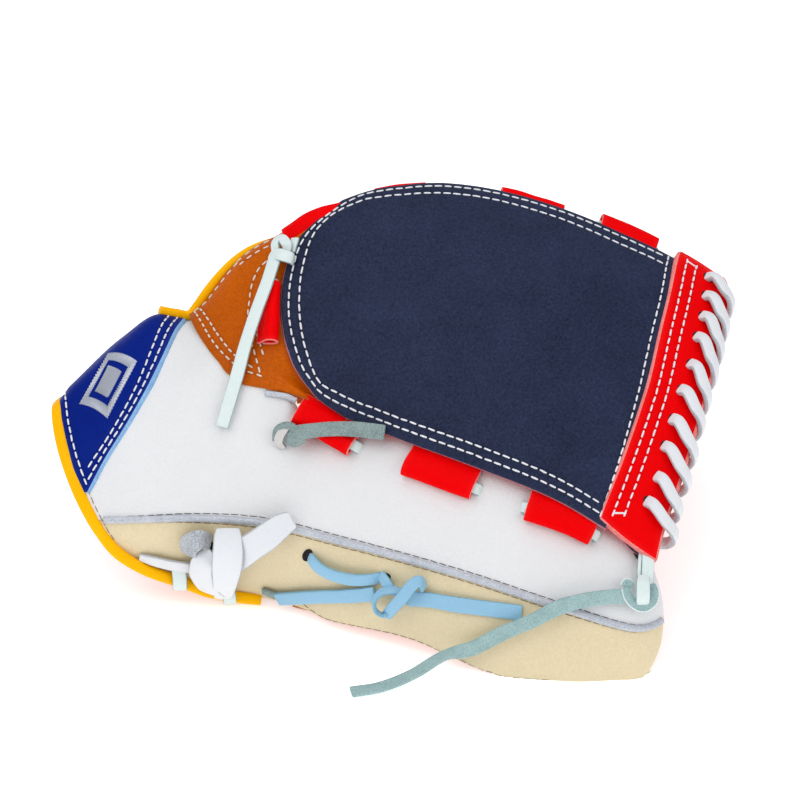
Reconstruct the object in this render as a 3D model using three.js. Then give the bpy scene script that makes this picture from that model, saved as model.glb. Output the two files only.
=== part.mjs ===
// Left-hand softball glove lying palm down, closed like a tent, in millimetres. +X runs from the wrist to
// the fingertips, -Y is the thumb side, +Z is up and z = 0 is the surface under it. Two leather skins
// carry everything: OUTER is the back of the glove, PALM the side that meets the ball. A place on a skin
// is (x, u): u counts lines that run along the glove, from the thumb's lower edge (0) by the thumb's welt
// (1), the web's foot (2), the web's middle (3), the crest (4) and the gaps between the fingers (5, 6, 7)
// to the outer edge of the little finger (8).
import * as THREE from "three";

const WALL = 2.4; // one leather wall
const GAP = 0.3; // clearance between neighbouring pieces
const ARCH = 0.62; // how square a stall is in section: 1 would be an ellipse
const PALM_GAP = 0.8; // between the feet of a stall and its palm side
const LOWEST_AWAY = 0.4; // below this line the thumb's palm side keeps one direction
const FINGER_BULGE = 4;
const LOOP_HEIGHT = 6.6;
const LOOP_WALL = 1.5;
const LACE_WIDTH = 6;
const LACE_THICK = 2;
const HEEL_LACE_WIDTH = 12;
const CROSS_LACE = 4.4;
const BINDING = 5.4;
const CROSS_TOP = 1.1; // the crossbar stands this much proud of the web
const CROSS_UNDER = 5;
const SETTLE = 1.6; // how far the leather flattens where it lies on the surface
const SOFT = 8; // and up to what height
const MIDDLE = [152.46, 127.43]; // the middle of the glove, which becomes the origin

const COLOUR = {
  navy: 0x2b3147,
  red: 0xee0a0f,
  white: 0xe6e7e9,
  tan: 0xe2d2b0,
  rust: 0xbc5a0c,
  blue: 0x10287e,
  gold: 0xfabc02,
  silver: 0xb8c2cc,
  mint: 0xc8dbdc,
  grey: 0x859696,
  sky: 0x8ebfd7,
};

// Sections of the outer skin: x, then (y, z) on each of the nine lines.
const OUTER = skinTable([
  [0, 59, 36, 61, 47, 75, 62, 92, 73, 107, 78, 126, 66, 147, 50, 163, 31, 172, 10],
  [30, 59, 29, 60, 47.7, 78, 76, 104, 91, 127, 97.5, 150, 83, 170, 62, 184, 38, 188, 10],
  [43, 60, 20, 59, 48.8, 80.5, 81, 106.5, 98, 134.5, 105, 155, 86, 174.5, 63, 189, 38, 193, 9],
  [60, 60, 10, 58, 50, 84, 87, 110, 101, 138, 102, 160, 84, 180, 63, 195, 38, 199, 7],
  [95, 60, 2, 53, 50.5, 90, 97.5, 118, 119, 153, 133, 176, 111, 198, 86, 214, 52, 217, 6],
  [130, 36, 7.5, 44, 46.8, 81, 91, 118.4, 124.6, 163, 152, 192, 118, 218, 86, 235, 46, 239, 4],
  [160, 22, 8, 33, 45, 65.5, 87.8, 109, 126.4, 167, 156, 198, 119, 224, 87, 242, 46, 246, 2],
  [190, 8, 2, 23, 41.3, 54.5, 82, 102, 125, 168, 154.5, 200, 117, 227, 85, 245, 45, 249, 1],
  [225, 1, -4, 14, 33.5, 43, 72.4, 94, 116, 165, 145.6, 197, 108, 223, 77, 240, 40, 245, 1],
  [255, 2, -4.5, 10, 25.3, 33, 57.4, 88, 100.7, 162, 133.7, 192, 98, 216, 67, 231, 34, 236, 1],
  [285, 5, -4, 12, 18, 30, 45, 82, 88, 157, 119.5, 185, 86, 207, 56, 221, 27, 226, 2],
  [310, 7, -4, 14, 12, 28, 35, 78, 76, 152, 105, 178, 73, 199, 45, 212, 20, 217, 2],
]);

// Sections of the palm skin on the same lines.
const PALM = skinTable([
  [38, 62, 17, 70, 15, 85, 17, 105, 21, 125, 23, 142, 21, 158, 17, 172, 14, 180, 14],
  [60, 63, 8, 73, 13, 89, 27, 110, 38, 132, 42, 152, 38, 170, 27, 186, 15, 193, 7],
  [95, 63, 5, 75, 23, 93, 49, 116, 68, 140, 76, 163, 71, 183, 54, 200, 30, 210, 6],
  [130, 42, 10, 61, 25, 83, 63, 109, 94, 147, 124, 176, 98, 197, 72, 212, 40, 225, 6],
  [160, 29, 12, 53, 27, 75, 74, 104, 112, 150, 128, 181, 98, 204, 71, 221, 38, 231, 5],
  [190, 16, 9, 44, 24, 66, 70, 98, 110, 151, 126, 183, 96, 207, 69, 225, 37, 235, 4],
  [225, 9, 5, 34, 18, 54, 60, 90, 102, 149, 118, 181, 88, 205, 62, 222, 33, 232, 4],
  [255, 9, 4, 26, 14, 42, 46, 84, 88, 147, 108, 178, 79, 200, 54, 215, 28, 225, 4],
  [285, 11, 3, 22, 12, 36, 38, 78, 76, 143, 96, 171, 68, 192, 45, 206, 22, 215, 5],
  [310, 13, 3, 22, 9, 34, 30, 74, 64, 139, 84, 165, 57, 184, 35, 197, 16, 206, 5],
]);

// The stalls: the two lines they lie between, the tip's x, its rounding and the line on which the tip
// closes.
const STALLS = {
  thumb: { from: -0.12, to: 2.12, tip: 272, round: 17, closesAt: 1.32, bulge: 0 },
  index: { from: 4.32, to: 4.985, tip: 300, round: 16, closesAt: 4.65, bulge: 2 },
  middle: { from: 5.015, to: 5.985, tip: 297, round: 16, closesAt: 5.5, bulge: FINGER_BULGE },
  ring: { from: 6.015, to: 6.985, tip: 286, round: 16, closesAt: 6.5, bulge: FINGER_BULGE },
  little: { from: 7.015, to: 8.06, tip: 268, round: 16, closesAt: 7.5, bulge: FINGER_BULGE },
};

// Edges on the outer skin, as (u, x) or (x, u) rows.
const WRIST_EDGE = curve([[-0.2, 40], [0.04, 28.5], [0.5, 22.5], [0.96, 18.2], [1.53, 11.4], [2.1, 6.5],
  [2.6, 3.6], [3.2, 1.6], [3.86, 0.6], [4.6, 0], [6, 1], [7, 5], [8, 12]]);
const STRAP_EDGE = curve([[1.4, 13.4], [1.87, 22.7], [2.31, 34.1], [2.7, 42.5], [3.07, 47.7], [3.6, 53],
  [4.15, 57], [4.6, 55], [5.5, 50], [7.3, 44]]);
const RUST_LEFT = curve([[2.03, 102], [2.06, 94], [2.12, 87.3], [2.47, 75.3], [2.98, 66.5], [3.4, 62.6],
  [4.02, 60.8], [4.12, 60.6]]);
const WHITE_EDGE = curve([[15, 1.46], [22.7, 1.87], [34.1, 2.31], [42.5, 2.7], [47.7, 3.07], [53, 3.6],
  [57.4, 3.98], [60.3, 3.4], [64.5, 2.94], [73.1, 2.44], [85.5, 2.07], [97.3, 1.98], [110.5, 1.97],
  [300, 1.97]]);
const WEB_LEFT = curve([[2, 131], [2.05, 120.5], [2.14, 113.6], [2.26, 108.6], [2.48, 104.6],
  [2.82, 102], [3.15, 101.5], [3.45, 103.8], [3.63, 107], [3.73, 110.6], [3.83, 117.5], [4.06, 130]]);
const WEB_RIGHT = curve([[2, 245.5], [2.08, 246.7], [2.3, 250.8], [2.53, 255.3], [2.97, 263.5],
  [3.39, 270.8], [3.66, 275.7], [3.96, 279.3], [4.1, 280.5]]);
const CROSS_RIGHT = curve([[1.91, 270.2], [2.17, 273.4], [2.63, 281.6], [3.17, 290.6], [3.5, 297.3],
  [3.9, 302.4], [4.18, 301]]);

// Lace holes in the crossbar, from its top: x, u.
const CROSS_HOLES = [[294.2, 3.92], [293, 3.74], [291.4, 3.59], [288.6, 3.45], [285.4, 3.28],
  [281, 3.11], [277, 2.9], [273.4, 2.71], [269.8, 2.5], [265.4, 2.31]];

// Red lace loops: name, x and u of one end, x and u of the other, height of the axis over the skin, width.
const LOOPS = [
  ["loop_top_left", 104.5, 4.05, 130, 4.14, 3.6, 10],
  ["loop_left", 98.4, 3.32, 96.9, 2.56, 3.6, 7.4],
  ["loop_low_1", 108.5, 1.86, 134, 1.78, 1.95, 11.5],
  ["loop_low_2", 157.5, 1.8, 187.4, 1.8, 1.45, 11.5],
  ["loop_low_3", 211, 1.8, 240, 1.87, 1.4, 11.5],
  ["loop_top_1", 143, 4.185, 166, 4.185, -3.6, 9],
  ["loop_top_2", 201, 4.165, 229, 4.165, -2.8, 9],
  ["loop_top_3", 246, 4.155, 271, 4.165, -0.4, 10],
];

function curve(rows) {
  return { at: rows.map((r) => r[0]), rows: rows.map((r) => r.slice(1)) };
}

function skinTable(rows) {
  return curve(rows);
}

// A smooth curve through a table's rows, straight on beyond its ends.
function along(table, at) {
  const { at: knots, rows } = table;
  const last = knots.length - 1;
  let i = 0;
  while (i < last - 1 && at > knots[i + 1]) i++;
  const slope = (k) => rows[k].map((v, c) => (rows[k + 1][c] - v) / (knots[k + 1] - knots[k]));
  const bend = (k) => {
    if (k === 0) return slope(0);
    if (k === last) return slope(last - 1);
    const before = knots[k] - knots[k - 1];
    const after = knots[k + 1] - knots[k];
    const a = slope(k - 1);
    const b = slope(k);
    return a.map((v, c) => (v * after + b[c] * before) / (before + after));
  };
  const step = knots[i + 1] - knots[i];
  const t = (at - knots[i]) / step;
  const m0 = bend(i);
  const m1 = bend(i + 1);
  if (t < 0) return rows[i].map((v, c) => v + m0[c] * (at - knots[i]));
  if (t > 1) return rows[i + 1].map((v, c) => v + m1[c] * (at - knots[i + 1]));
  return rows[i].map(
    (v, c) =>
      v * (1 + 2 * t) * (1 - t) ** 2 +
      m0[c] * step * t * (1 - t) ** 2 +
      rows[i + 1][c] * t * t * (3 - 2 * t) +
      m1[c] * step * t * t * (t - 1),
  );
}

const edge = (table, at) => along(table, at)[0];

const sections = new Map();
function section(table, x) {
  const key = (table === OUTER ? "o" : "p") + x.toFixed(4);
  if (!sections.has(key)) {
    const flat = along(table, x);
    const rows = [];
    for (let i = 0; i < flat.length; i += 2) rows.push([i / 2, flat[i], flat[i + 1]]);
    sections.set(key, curve(rows));
  }
  return sections.get(key);
}

function onTable(table, x, u) {
  const [y, z] = along(section(table, x), u);
  return new THREE.Vector3(x, y, z);
}

function skinNormal(x, u) {
  const du = onTable(OUTER, x, u + 0.02).sub(onTable(OUTER, x, u - 0.02));
  const dx = onTable(OUTER, x + 1, u).sub(onTable(OUTER, x - 1, u));
  return dx.cross(du).normalize();
}

// A point on the outer skin, or over it by lift.
function skin(x, u, lift = 0) {
  const p = onTable(OUTER, x, u);
  return lift ? p.addScaledVector(skinNormal(x, u), lift) : p;
}

const mix = (a, b, t) => a + (b - a) * t;
const bow = (t) => Math.sin((t * Math.PI) / 2);
const ease = (a, b, v) => {
  const t = Math.min(Math.max((v - a) / (b - a), 0), 1);
  return t * t * (3 - 2 * t);
};
const power = (v, p) => Math.sign(v) * Math.abs(v) ** p;

// A point of a stall's back. across runs from -1 at the stall's first line to 1 at its last, depth is how
// far the point lies inside the outer face, and x past the tip's foot goes round the tip.
function stallBack(stall, x, across, depth) {
  const height = (1 - Math.min(Math.abs(across), 1) ** (2 / ARCH)) ** (ARCH / 2);
  return stallPlace(stall, x, across, height, depth);
}

// A point of the same stall's palm side, which lies under the feet of its back.
function stallPalm(stall, x, across, depth) {
  return stallPlace(stall, x, across, 0, depth, true);
}

function stallPlace(stall, x, across, height, depth, palm = false) {
  const middle = (stall.from + stall.to) / 2;
  const half = (stall.to - stall.from) / 2;
  const foot = stall.tip - stall.round;
  const round = Math.min(Math.max((x - foot) / stall.round, 0), 1) * Math.PI * 0.485;
  const c = Math.cos(round);
  const rim = stall.round - (palm ? 0 : Math.max(depth, 0));
  const at = x <= foot ? x : foot + rim * Math.sin(round);
  const width = onTable(OUTER, at, stall.to).distanceTo(onTable(OUTER, at, stall.from)) / 2;
  const a = palm ? across : across * (1 - depth / width);
  const u = mix(stall.closesAt, middle + half * a, c);
  const low = onTable(PALM, at, u);
  const high = skin(at, u, stall.bulge * c * Math.cos((a * Math.PI) / 2));
  if (palm) {
    const line = Math.max(u, LOWEST_AWAY);
    const away = onTable(PALM, at, line).sub(onTable(OUTER, at, line)).setLength((PALM_GAP + depth) * c);
    return low.lerp(high, 0.5 * (1 - c)).add(away);
  }
  return low.lerp(high, mix(0.5, height * (1 - depth / high.distanceTo(low)), c));
}

// Leather low down settles by SETTLE where it rests, and stays over lowest. inward is how far it gives
// way, in y, for each millimetre that the surface lifts it.
const onFloor = (p, lowest, inward = 0) => {
  if (p.z < SOFT) p.z -= SETTLE * (1 - Math.max(p.z - SETTLE, 0) / (SOFT - SETTLE));
  p.y += inward * Math.max(lowest - p.z, 0);
  p.z = Math.max(p.z, lowest);
  return p;
};

const steps = (from, to, n) => Array.from({ length: n + 1 }, (_, i) => mix(from, to, i / n));

// A closed sheet between two faces, each given over s and t: rows lists the values of s, and t runs from 0
// to 1 in nt steps.
function sheet(name, colour, rows, nt, top, under) {
  const ns = rows.length - 1;
  const points = [];
  const faces = [];
  const id = (side, i, j) => (side * (ns + 1) + i) * (nt + 1) + j;
  for (const face of [top, under])
    for (const s of rows) for (let j = 0; j <= nt; j++) points.push(face(s, j / nt));
  const quad = (a, b, c, d) => faces.push(a, b, c, a, c, d);
  for (let i = 0; i < ns; i++)
    for (let j = 0; j < nt; j++) {
      quad(id(0, i, j), id(0, i + 1, j), id(0, i + 1, j + 1), id(0, i, j + 1));
      quad(id(1, i, j), id(1, i, j + 1), id(1, i + 1, j + 1), id(1, i + 1, j));
    }
  for (let i = 0; i < ns; i++) {
    quad(id(0, i, 0), id(1, i, 0), id(1, i + 1, 0), id(0, i + 1, 0));
    quad(id(0, i, nt), id(0, i + 1, nt), id(1, i + 1, nt), id(1, i, nt));
  }
  for (let j = 0; j < nt; j++) {
    quad(id(0, 0, j), id(0, 0, j + 1), id(1, 0, j + 1), id(1, 0, j));
    quad(id(0, ns, j), id(1, ns, j), id(1, ns, j + 1), id(0, ns, j + 1));
  }
  return solid(name, colour, points, faces);
}

// A closed mesh from points and triangles, turned so that its faces point out.
function solid(name, colour, points, faces) {
  let volume = 0;
  for (let i = 0; i < faces.length; i += 3) {
    const [a, b, c] = [points[faces[i]], points[faces[i + 1]], points[faces[i + 2]]];
    volume += a.dot(new THREE.Vector3().crossVectors(b, c));
  }
  const index = volume > 0 ? faces : faces.map((_, i) => faces[i - (i % 3) + [0, 2, 1][i % 3]]);
  const geometry = new THREE.BufferGeometry();
  geometry.setAttribute("position", new THREE.Float32BufferAttribute(points.flatMap((p) => p.toArray()),
    3));
  geometry.setIndex(index);
  geometry.computeVertexNormals();
  const material = new THREE.MeshStandardMaterial({ color: COLOUR[colour], roughness: 0.55, metalness: 0 });
  const mesh = new THREE.Mesh(geometry, material);
  mesh.name = name;
  return mesh;
}

// A lace, binding or loop swept along a route of {point, up}; wall makes it a tube with open ends.
function sweep(name, colour, route, width, thick, sides, steps, wall = 0) {
  const line = new THREE.CatmullRomCurve3(route.map((r) => r.point), false, "centripetal");
  const ups = new THREE.CatmullRomCurve3(route.map((r) => r.up), false, "centripetal");
  const points = [];
  const rings = [];
  for (let i = 0; i <= steps; i++) {
    const at = i / steps;
    const centre = line.getPoint(at);
    const forward = line.getTangent(at);
    const side = new THREE.Vector3().crossVectors(forward, ups.getPoint(at)).normalize();
    const up = new THREE.Vector3().crossVectors(side, forward).normalize();
    for (const inset of wall ? [0, wall] : [0]) {
      const ring = [];
      for (let k = 0; k < sides; k++) {
        const turn = (2 * Math.PI * (k + 0.5)) / sides;
        const a = power(Math.cos(turn), 0.7) * (width / 2 - inset);
        const b = power(Math.sin(turn), 0.7) * (thick / 2 - inset);
        ring.push(points.push(centre.clone().addScaledVector(side, a).addScaledVector(up, b)) - 1);
      }
      rings.push(ring);
    }
  }
  const faces = [];
  const skinOf = (a, b) => {
    for (let k = 0; k < sides; k++) {
      const n = (k + 1) % sides;
      faces.push(a[k], a[n], b[n], a[k], b[n], b[k]);
    }
  };
  const layers = wall ? 2 : 1;
  for (let i = 0; i < steps; i++) {
    skinOf(rings[i * layers], rings[(i + 1) * layers]);
    if (wall) skinOf(rings[(i + 1) * layers + 1], rings[i * layers + 1]);
  }
  const first = rings[0];
  const end = rings[steps * layers];
  if (wall) {
    skinOf(rings[1], first);
    skinOf(end, rings[steps * layers + 1]);
  } else {
    for (let k = 1; k < sides - 1; k++) {
      faces.push(first[0], first[k + 1], first[k]);
      faces.push(end[0], end[k], end[k + 1]);
    }
  }
  return solid(name, colour, points, faces);
}

// A route over the skin from rows of x, u, lift.
const over = (rows) => rows.map(([x, u, lift]) => ({ point: skin(x, u, lift), up: skinNormal(x, u) }));
// A route through free points from rows of x, y, z.
const free = (rows, up = [0, 0, 1]) =>
  rows.map(([x, y, z]) => ({ point: new THREE.Vector3(x, y, z), up: new THREE.Vector3(...up) }));

function knot(name, colour, x, u, lift, sizes, turn = 0) {
  const ball = new THREE.SphereGeometry(0.5, 8, 6);
  const n = skinNormal(x, u);
  const ahead = skin(x + 1, u).sub(skin(x - 1, u)).normalize();
  const side = new THREE.Vector3().crossVectors(n, ahead).normalize();
  const basis = new THREE.Matrix4().makeBasis(ahead, side, n);
  const points = [];
  const place = ball.getAttribute("position");
  const merged = new Map();
  const faces = [];
  for (const i of ball.getIndex().array) {
    const p = new THREE.Vector3().fromBufferAttribute(place, i);
    const key = p.toArray().map((v) => v.toFixed(4)).join();
    if (!merged.has(key)) {
      p.multiply(new THREE.Vector3(...sizes)).applyAxisAngle(new THREE.Vector3(0, 0, 1), turn);
      merged.set(key, points.push(p.applyMatrix4(basis).add(skin(x, u, lift))) - 1);
    }
    faces.push(merged.get(key));
  }
  const kept = [];
  for (let i = 0; i < faces.length; i += 3)
    if (new Set(faces.slice(i, i + 3)).size === 3) kept.push(...faces.slice(i, i + 3));
  return solid(name, colour, points, kept);
}

const glove = new THREE.Group();
const add = (...meshes) => glove.add(...meshes);

// Thumb: the white panel runs from the welt up to the strap, the rust web base and the web, and folds
// under it.
const THUMB_X = [15, 20, 27, 34, 41, 47, 52, 57.4, 60.3, 65, 73, 85, 97, 110, 123, 145, 170, 195, 220,
  240, 255, 260, 265,
  269, 271, 272];
const WELT_HALF = 0.042;

function whitePoint(x, t, depth) {
  const arch = stallBack(STALLS.thumb, x, mix(WELT_HALF + 0.018, 1, bow(t)), depth);
  if (x > 124) return arch;
  const u = mix(1.09, Math.max(edge(WHITE_EDGE, x) - 0.015, 1.3), t);
  const flat = skin(x + mix(7.5, 0.3, t) * (1 - ease(15, 60, x)), u, -depth);
  return flat.lerp(arch, ease(98, 123, x));
}

function tanPoint(x, t, depth) {
  const arch = stallBack(STALLS.thumb, x, -mix(WELT_HALF + 0.018, 1, bow(t)), depth);
  const lowest = depth ? WALL : 0;
  if (x > 124) return onFloor(arch, lowest, 0.25);
  const u = mix(0.93, 0.27, t);
  const left = edge(WRIST_EDGE, u) + 4 - 15;
  const flat = skin(x + left * (1 - ease(15, 95, x)), u, -depth);
  return onFloor(flat.lerp(arch, ease(95, 123, x)), lowest);
}

function weltPoint(x, t, depth) {
  const arch = stallBack(STALLS.thumb, x, mix(0.012 - WELT_HALF, WELT_HALF - 0.012, t), depth);
  if (x > 124) return onFloor(arch, 0.3);
  const flat = skin(x + 7 * (1 - ease(15, 60, x)), mix(0.96, 1.05, t), -depth);
  return flat.lerp(arch, ease(95, 123, x));
}
add(
  sheet("thumb_inner", "white", THUMB_X, 6, (x, t) => whitePoint(x, t, 0),
    (x, t) => whitePoint(x, t, WALL)),
  sheet("thumb_outer", "tan", THUMB_X, 5, (x, t) => tanPoint(x, t, 0), (x, t) => tanPoint(x, t, WALL)),
  sheet("thumb_welt", "silver", THUMB_X, 1, (x, t) => weltPoint(x, t, -1), (x, t) => weltPoint(x, t, WALL)),
);

// Stations along a stall, closer together round its tip.
function stations(stall, start, n) {
  const foot = stall.tip - stall.round;
  return [...steps(start, foot, n), ...[0.3, 0.55, 0.78, 0.93, 1].map((k) => foot + stall.round * k)];
}

function palmSide(name, stall, rows, nt, inward = 0) {
  const place = (x, t, depth) => {
    return onFloor(stallPalm(stall, x, mix(-1, 1, t), depth), depth ? 0 : WALL, inward);
  };
  return sheet(name, "rust", rows, nt, (x, t) => place(x, t, 0), (x, t) => place(x, t, WALL));
}
add(palmSide("thumb_palm", STALLS.thumb, [106.4, ...THUMB_X.filter((x) => x > 109)], 4, 1.5));

// Fingers: a back that closes at the tip, over a palm side.
const FINGER_START = 106.4;
const FINGERS = [["index", "rust"], ["middle", "tan"], ["ring", "white"], ["little", "tan"]];
for (const [name, colour] of FINGERS) {
  const stall = STALLS[name];
  const place = (x, t, depth) => {
    const across = bow(2 * t - 1);
    return onFloor(stallBack(stall, x, across, depth), depth ? WALL + 3.4 : 3.4 * (name !== "little"));
  };
  add(
    sheet(name + "_back", colour, stations(stall, FINGER_START, 6), 8, (x, t) => place(x, t, 0),
      (x, t) => place(x, t, WALL)),
    palmSide(name + "_palm", stall, stations(stall, FINGER_START, 6), 3),
  );
}

// Palm: from the heel to the roots of the fingers, rising to the web's foot between thumb and index finger.
function palmPoint(s, t, depth) {
  const u = mix(0.1, 7.9, t);
  const x = mix(41, 105.6, s);
  const rise = ease(76, 105, x) * ease(1.95, 2.5, u) * (1 - ease(3.75, 4.25, u)) * 0.88;
  const low = onTable(PALM, x, u);
  const high = onTable(OUTER, x, u);
  const down = high.clone().sub(low).normalize();
  return onFloor(low.lerp(high, rise).addScaledVector(down, -0.8 - depth), depth ? 0 : WALL);
}
add(sheet("palm", "rust", steps(0, 1, 7), 19, (s, t) => palmPoint(s, t, 0),
  (s, t) => palmPoint(s, t, WALL)));

// The side of the hand under the little finger.
function sidePoint(s, t, depth) {
  const u = mix(7.36, 8, t);
  return onFloor(skin(mix(edge(WRIST_EDGE, u) + 3.4, 103.4, s), u, -depth), depth ? WALL : 0.3);
}
add(sheet("hand_side", "tan", steps(0, 1, 7), 3, (s, t) => sidePoint(s, t, 0),
  (s, t) => sidePoint(s, t, WALL)));

// Rust web base between the back opening and the web.
function rustPoint(s, t, lift) {
  const u = mix(2.03, 4.12, t);
  return skin(mix(edge(RUST_LEFT, u), Math.min(edge(WEB_LEFT, u), 121) - 2, s), u, lift);
}
add(sheet("web_base", "rust", steps(0, 1, 6), 9, (s, t) => rustPoint(s, t, 0),
  (s, t) => rustPoint(s, t, -WALL)));

// Wrist strap over the back of the hand.
function strapPoint(s, t, lift) {
  const u = mix(1.5, 7.3, t);
  const left = edge(WRIST_EDGE, u) + 3.5;
  return skin(mix(left, Math.max(edge(STRAP_EDGE, u) - 0.6, left + 0.8), s), u, lift);
}
add(sheet("strap", "blue", steps(0, 1, 5), 18, (s, t) => strapPoint(s, t, 0.9),
  (s, t) => strapPoint(s, t, -WALL)));

// Web: a navy outer layer over a red inner layer.
const WEB_ROWS = steps(0, 1, 12).map((k) => (1 - Math.cos(k * Math.PI)) / 2);
function webPoint(s, t, lift, inset) {
  const u = mix(2 + inset * 0.02, 4.03 - inset * 0.02, t);
  const left = edge(WEB_LEFT, u) + inset;
  const foot = 1.2 * (1 - ease(2, 2.3, u)) - 1.5 * ease(3.6, 4.03, u);
  return skin(mix(left, edge(WEB_RIGHT, u) - 0.4 - inset * 0.2, s), u, lift + foot);
}
function webSheet(name, colour, n, top, under, inset) {
  const at = (t, s, lift) => webPoint(s, t, lift, inset);
  return sheet(name, colour, WEB_ROWS, n, (t, s) => at(t, s, top), (t, s) => at(t, s, under));
}
add(webSheet("web_outer", "navy", 12, 1.2, -1.2, 0), webSheet("web_inner", "red", 8, -2.1, -4.4, 1.2));

// Crossbar along the web's end.
const CROSS_RISE = 1.6;
const CROSS_THIN = 4.2;
const crossLow = (u) => 1 - ease(2.03, 2.37, u);
function crossPoint(s, t, lift) {
  const u = mix(2.03, 4.14, t);
  const low = crossLow(u);
  const left = edge(WEB_RIGHT, u) + 0.4;
  const right = edge(CROSS_RIGHT, u - 0.12 * low) - 0.2;
  return skin(mix(left, right, s), u - 0.12 * low * s, lift + low * (lift < 0 ? CROSS_THIN : CROSS_RISE));
}
add(
  sheet("crossbar", "red", steps(0, 1, 3), 14, (s, t) => crossPoint(s, t, CROSS_TOP + 1.2),
    (s, t) => crossPoint(s, t, -CROSS_UNDER)),
);

// White lace turned over the crossbar's free edge.
CROSS_HOLES.forEach(([x, u], i) => {
  const next = u - 0.13;
  const last = u - 0.2;
  const right = edge(CROSS_RIGHT, next) + 1.8 * crossLow(next);
  const low = crossLow(u);
  const top = CROSS_TOP + 1.6 + GAP + CROSS_LACE / 2 + (CROSS_RISE + 0.8) * low;
  const under = -CROSS_UNDER - 1 - GAP - CROSS_LACE / 2 + (CROSS_THIN - 1.2) * crossLow(last + 0.14);
  const rim = right + GAP + CROSS_LACE / 2 + 1;
  const out = skinNormal(right, next);
  const route = [
    [x + 0.5, u, top],
    [mix(x, right, 0.6), mix(u, next, 0.6), top + 0.5],
    [right + 1, next, top - 0.1],
    [rim, next - 0.02, (top + under) / 2],
    [right + 1, next - 0.05, under + 0.1],
    [mix(x, right, 0.45), last, under],
  ].map(([a, b, lift]) => ({ point: skin(a, b, lift), up: out }));
  const ahead = skin(right, next).sub(skin(right - 1, next)).normalize();
  route.forEach((r, k) => {
    r.up = k < 2 ? out : k === 2 ? out.clone().add(ahead) : k === 3 ? ahead : ahead.clone().sub(out);
  });
  route[5].up = out.clone().negate();
  add(sweep("cross_lace_" + (i + 1), "white", route, CROSS_LACE, CROSS_LACE, 6, 6));
});

// Red loops along the web, each a rolled tube on a mint lace.
for (const [name, x0, u0, x1, u1, lift, width] of LOOPS) {
  const at = (k, raise = 0) => [mix(x0, x1, k), mix(u0, u1, k), lift + raise];
  add(sweep(name, "red", over([at(0), at(0.5, 0.2), at(1)]), width, LOOP_HEIGHT, 12, 2, LOOP_WALL));
  if (name.startsWith("loop_top_1") || name.startsWith("loop_top_2")) continue;
  add(sweep(name.replace("loop", "lace"), "mint",
    over([at(-0.13, -0.6), at(0), at(0.5), at(1), at(1.13, -0.6)]),
    Math.min(4.6, width - 2 * LOOP_WALL - 0.9), 2.6, 6, 4));
}

// Gold binding of the wrist edge, down the heel and along the palm seam.
const wristRoute = [7.6, 6.5, 5.5, 4.6, 3.86, 3.2, 2.4, 1.53, 0.96, 0.5].map((u) => ({
  point: skin(edge(WRIST_EDGE, u) + mix(-0.9, 0, ease(3.86, 4.6, u)), u, -0.6),
  up: skinNormal(edge(WRIST_EDGE, u), u),
}));
wristRoute.push(...free([[27.3, 57.4, 32], [38.6, 57.4, 22.8], [52, 58.2, 16], [60, 58.8, 12.3],
  [68.2, 59.4, 8.2], [80, 60, 4.9], [91.6, 60.4, 3.1]], [0.3, -1, 0.4]));
add(sweep("binding_wrist", "gold", wristRoute, BINDING, 3.6, 8, 26));

// Gold binding round the back opening.
add(sweep("binding_opening", "gold", over([[46, 4.22, 3.8], [54, 4.23, 4.2], [61, 4.25, 2.6],
  [70, 4.25, 1.2], [80, 4.25, 0.8],
  [92, 4.24, 0.6], [99, 4.4, 0.6], [102.2, 4.8, 0.6], [102, 5.5, 0.5], [102, 6.3, 0.5], [101, 6.98, 0.5],
  [94, 7.22, -1.2], [80, 7.24, -1.2], [62, 7.24, -1.2], [50, 7.22, -1.2]]), BINDING, 3.4, 8, 24));

// Plain silver ornament on the strap.
function ornamentPoint(s, t, lift) {
  const width = 1 - Math.abs(2 * t - 1) * 0.92;
  const u = mix(2.5, 3.95, t);
  return skin(24 + (s - 0.5) * 26 * width, u, lift);
}
add(sheet("ornament", "silver", steps(0, 1, 2), 8, (s, t) => ornamentPoint(s, t, 2),
  (s, t) => ornamentPoint(s, t, 1.2)));

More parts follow.
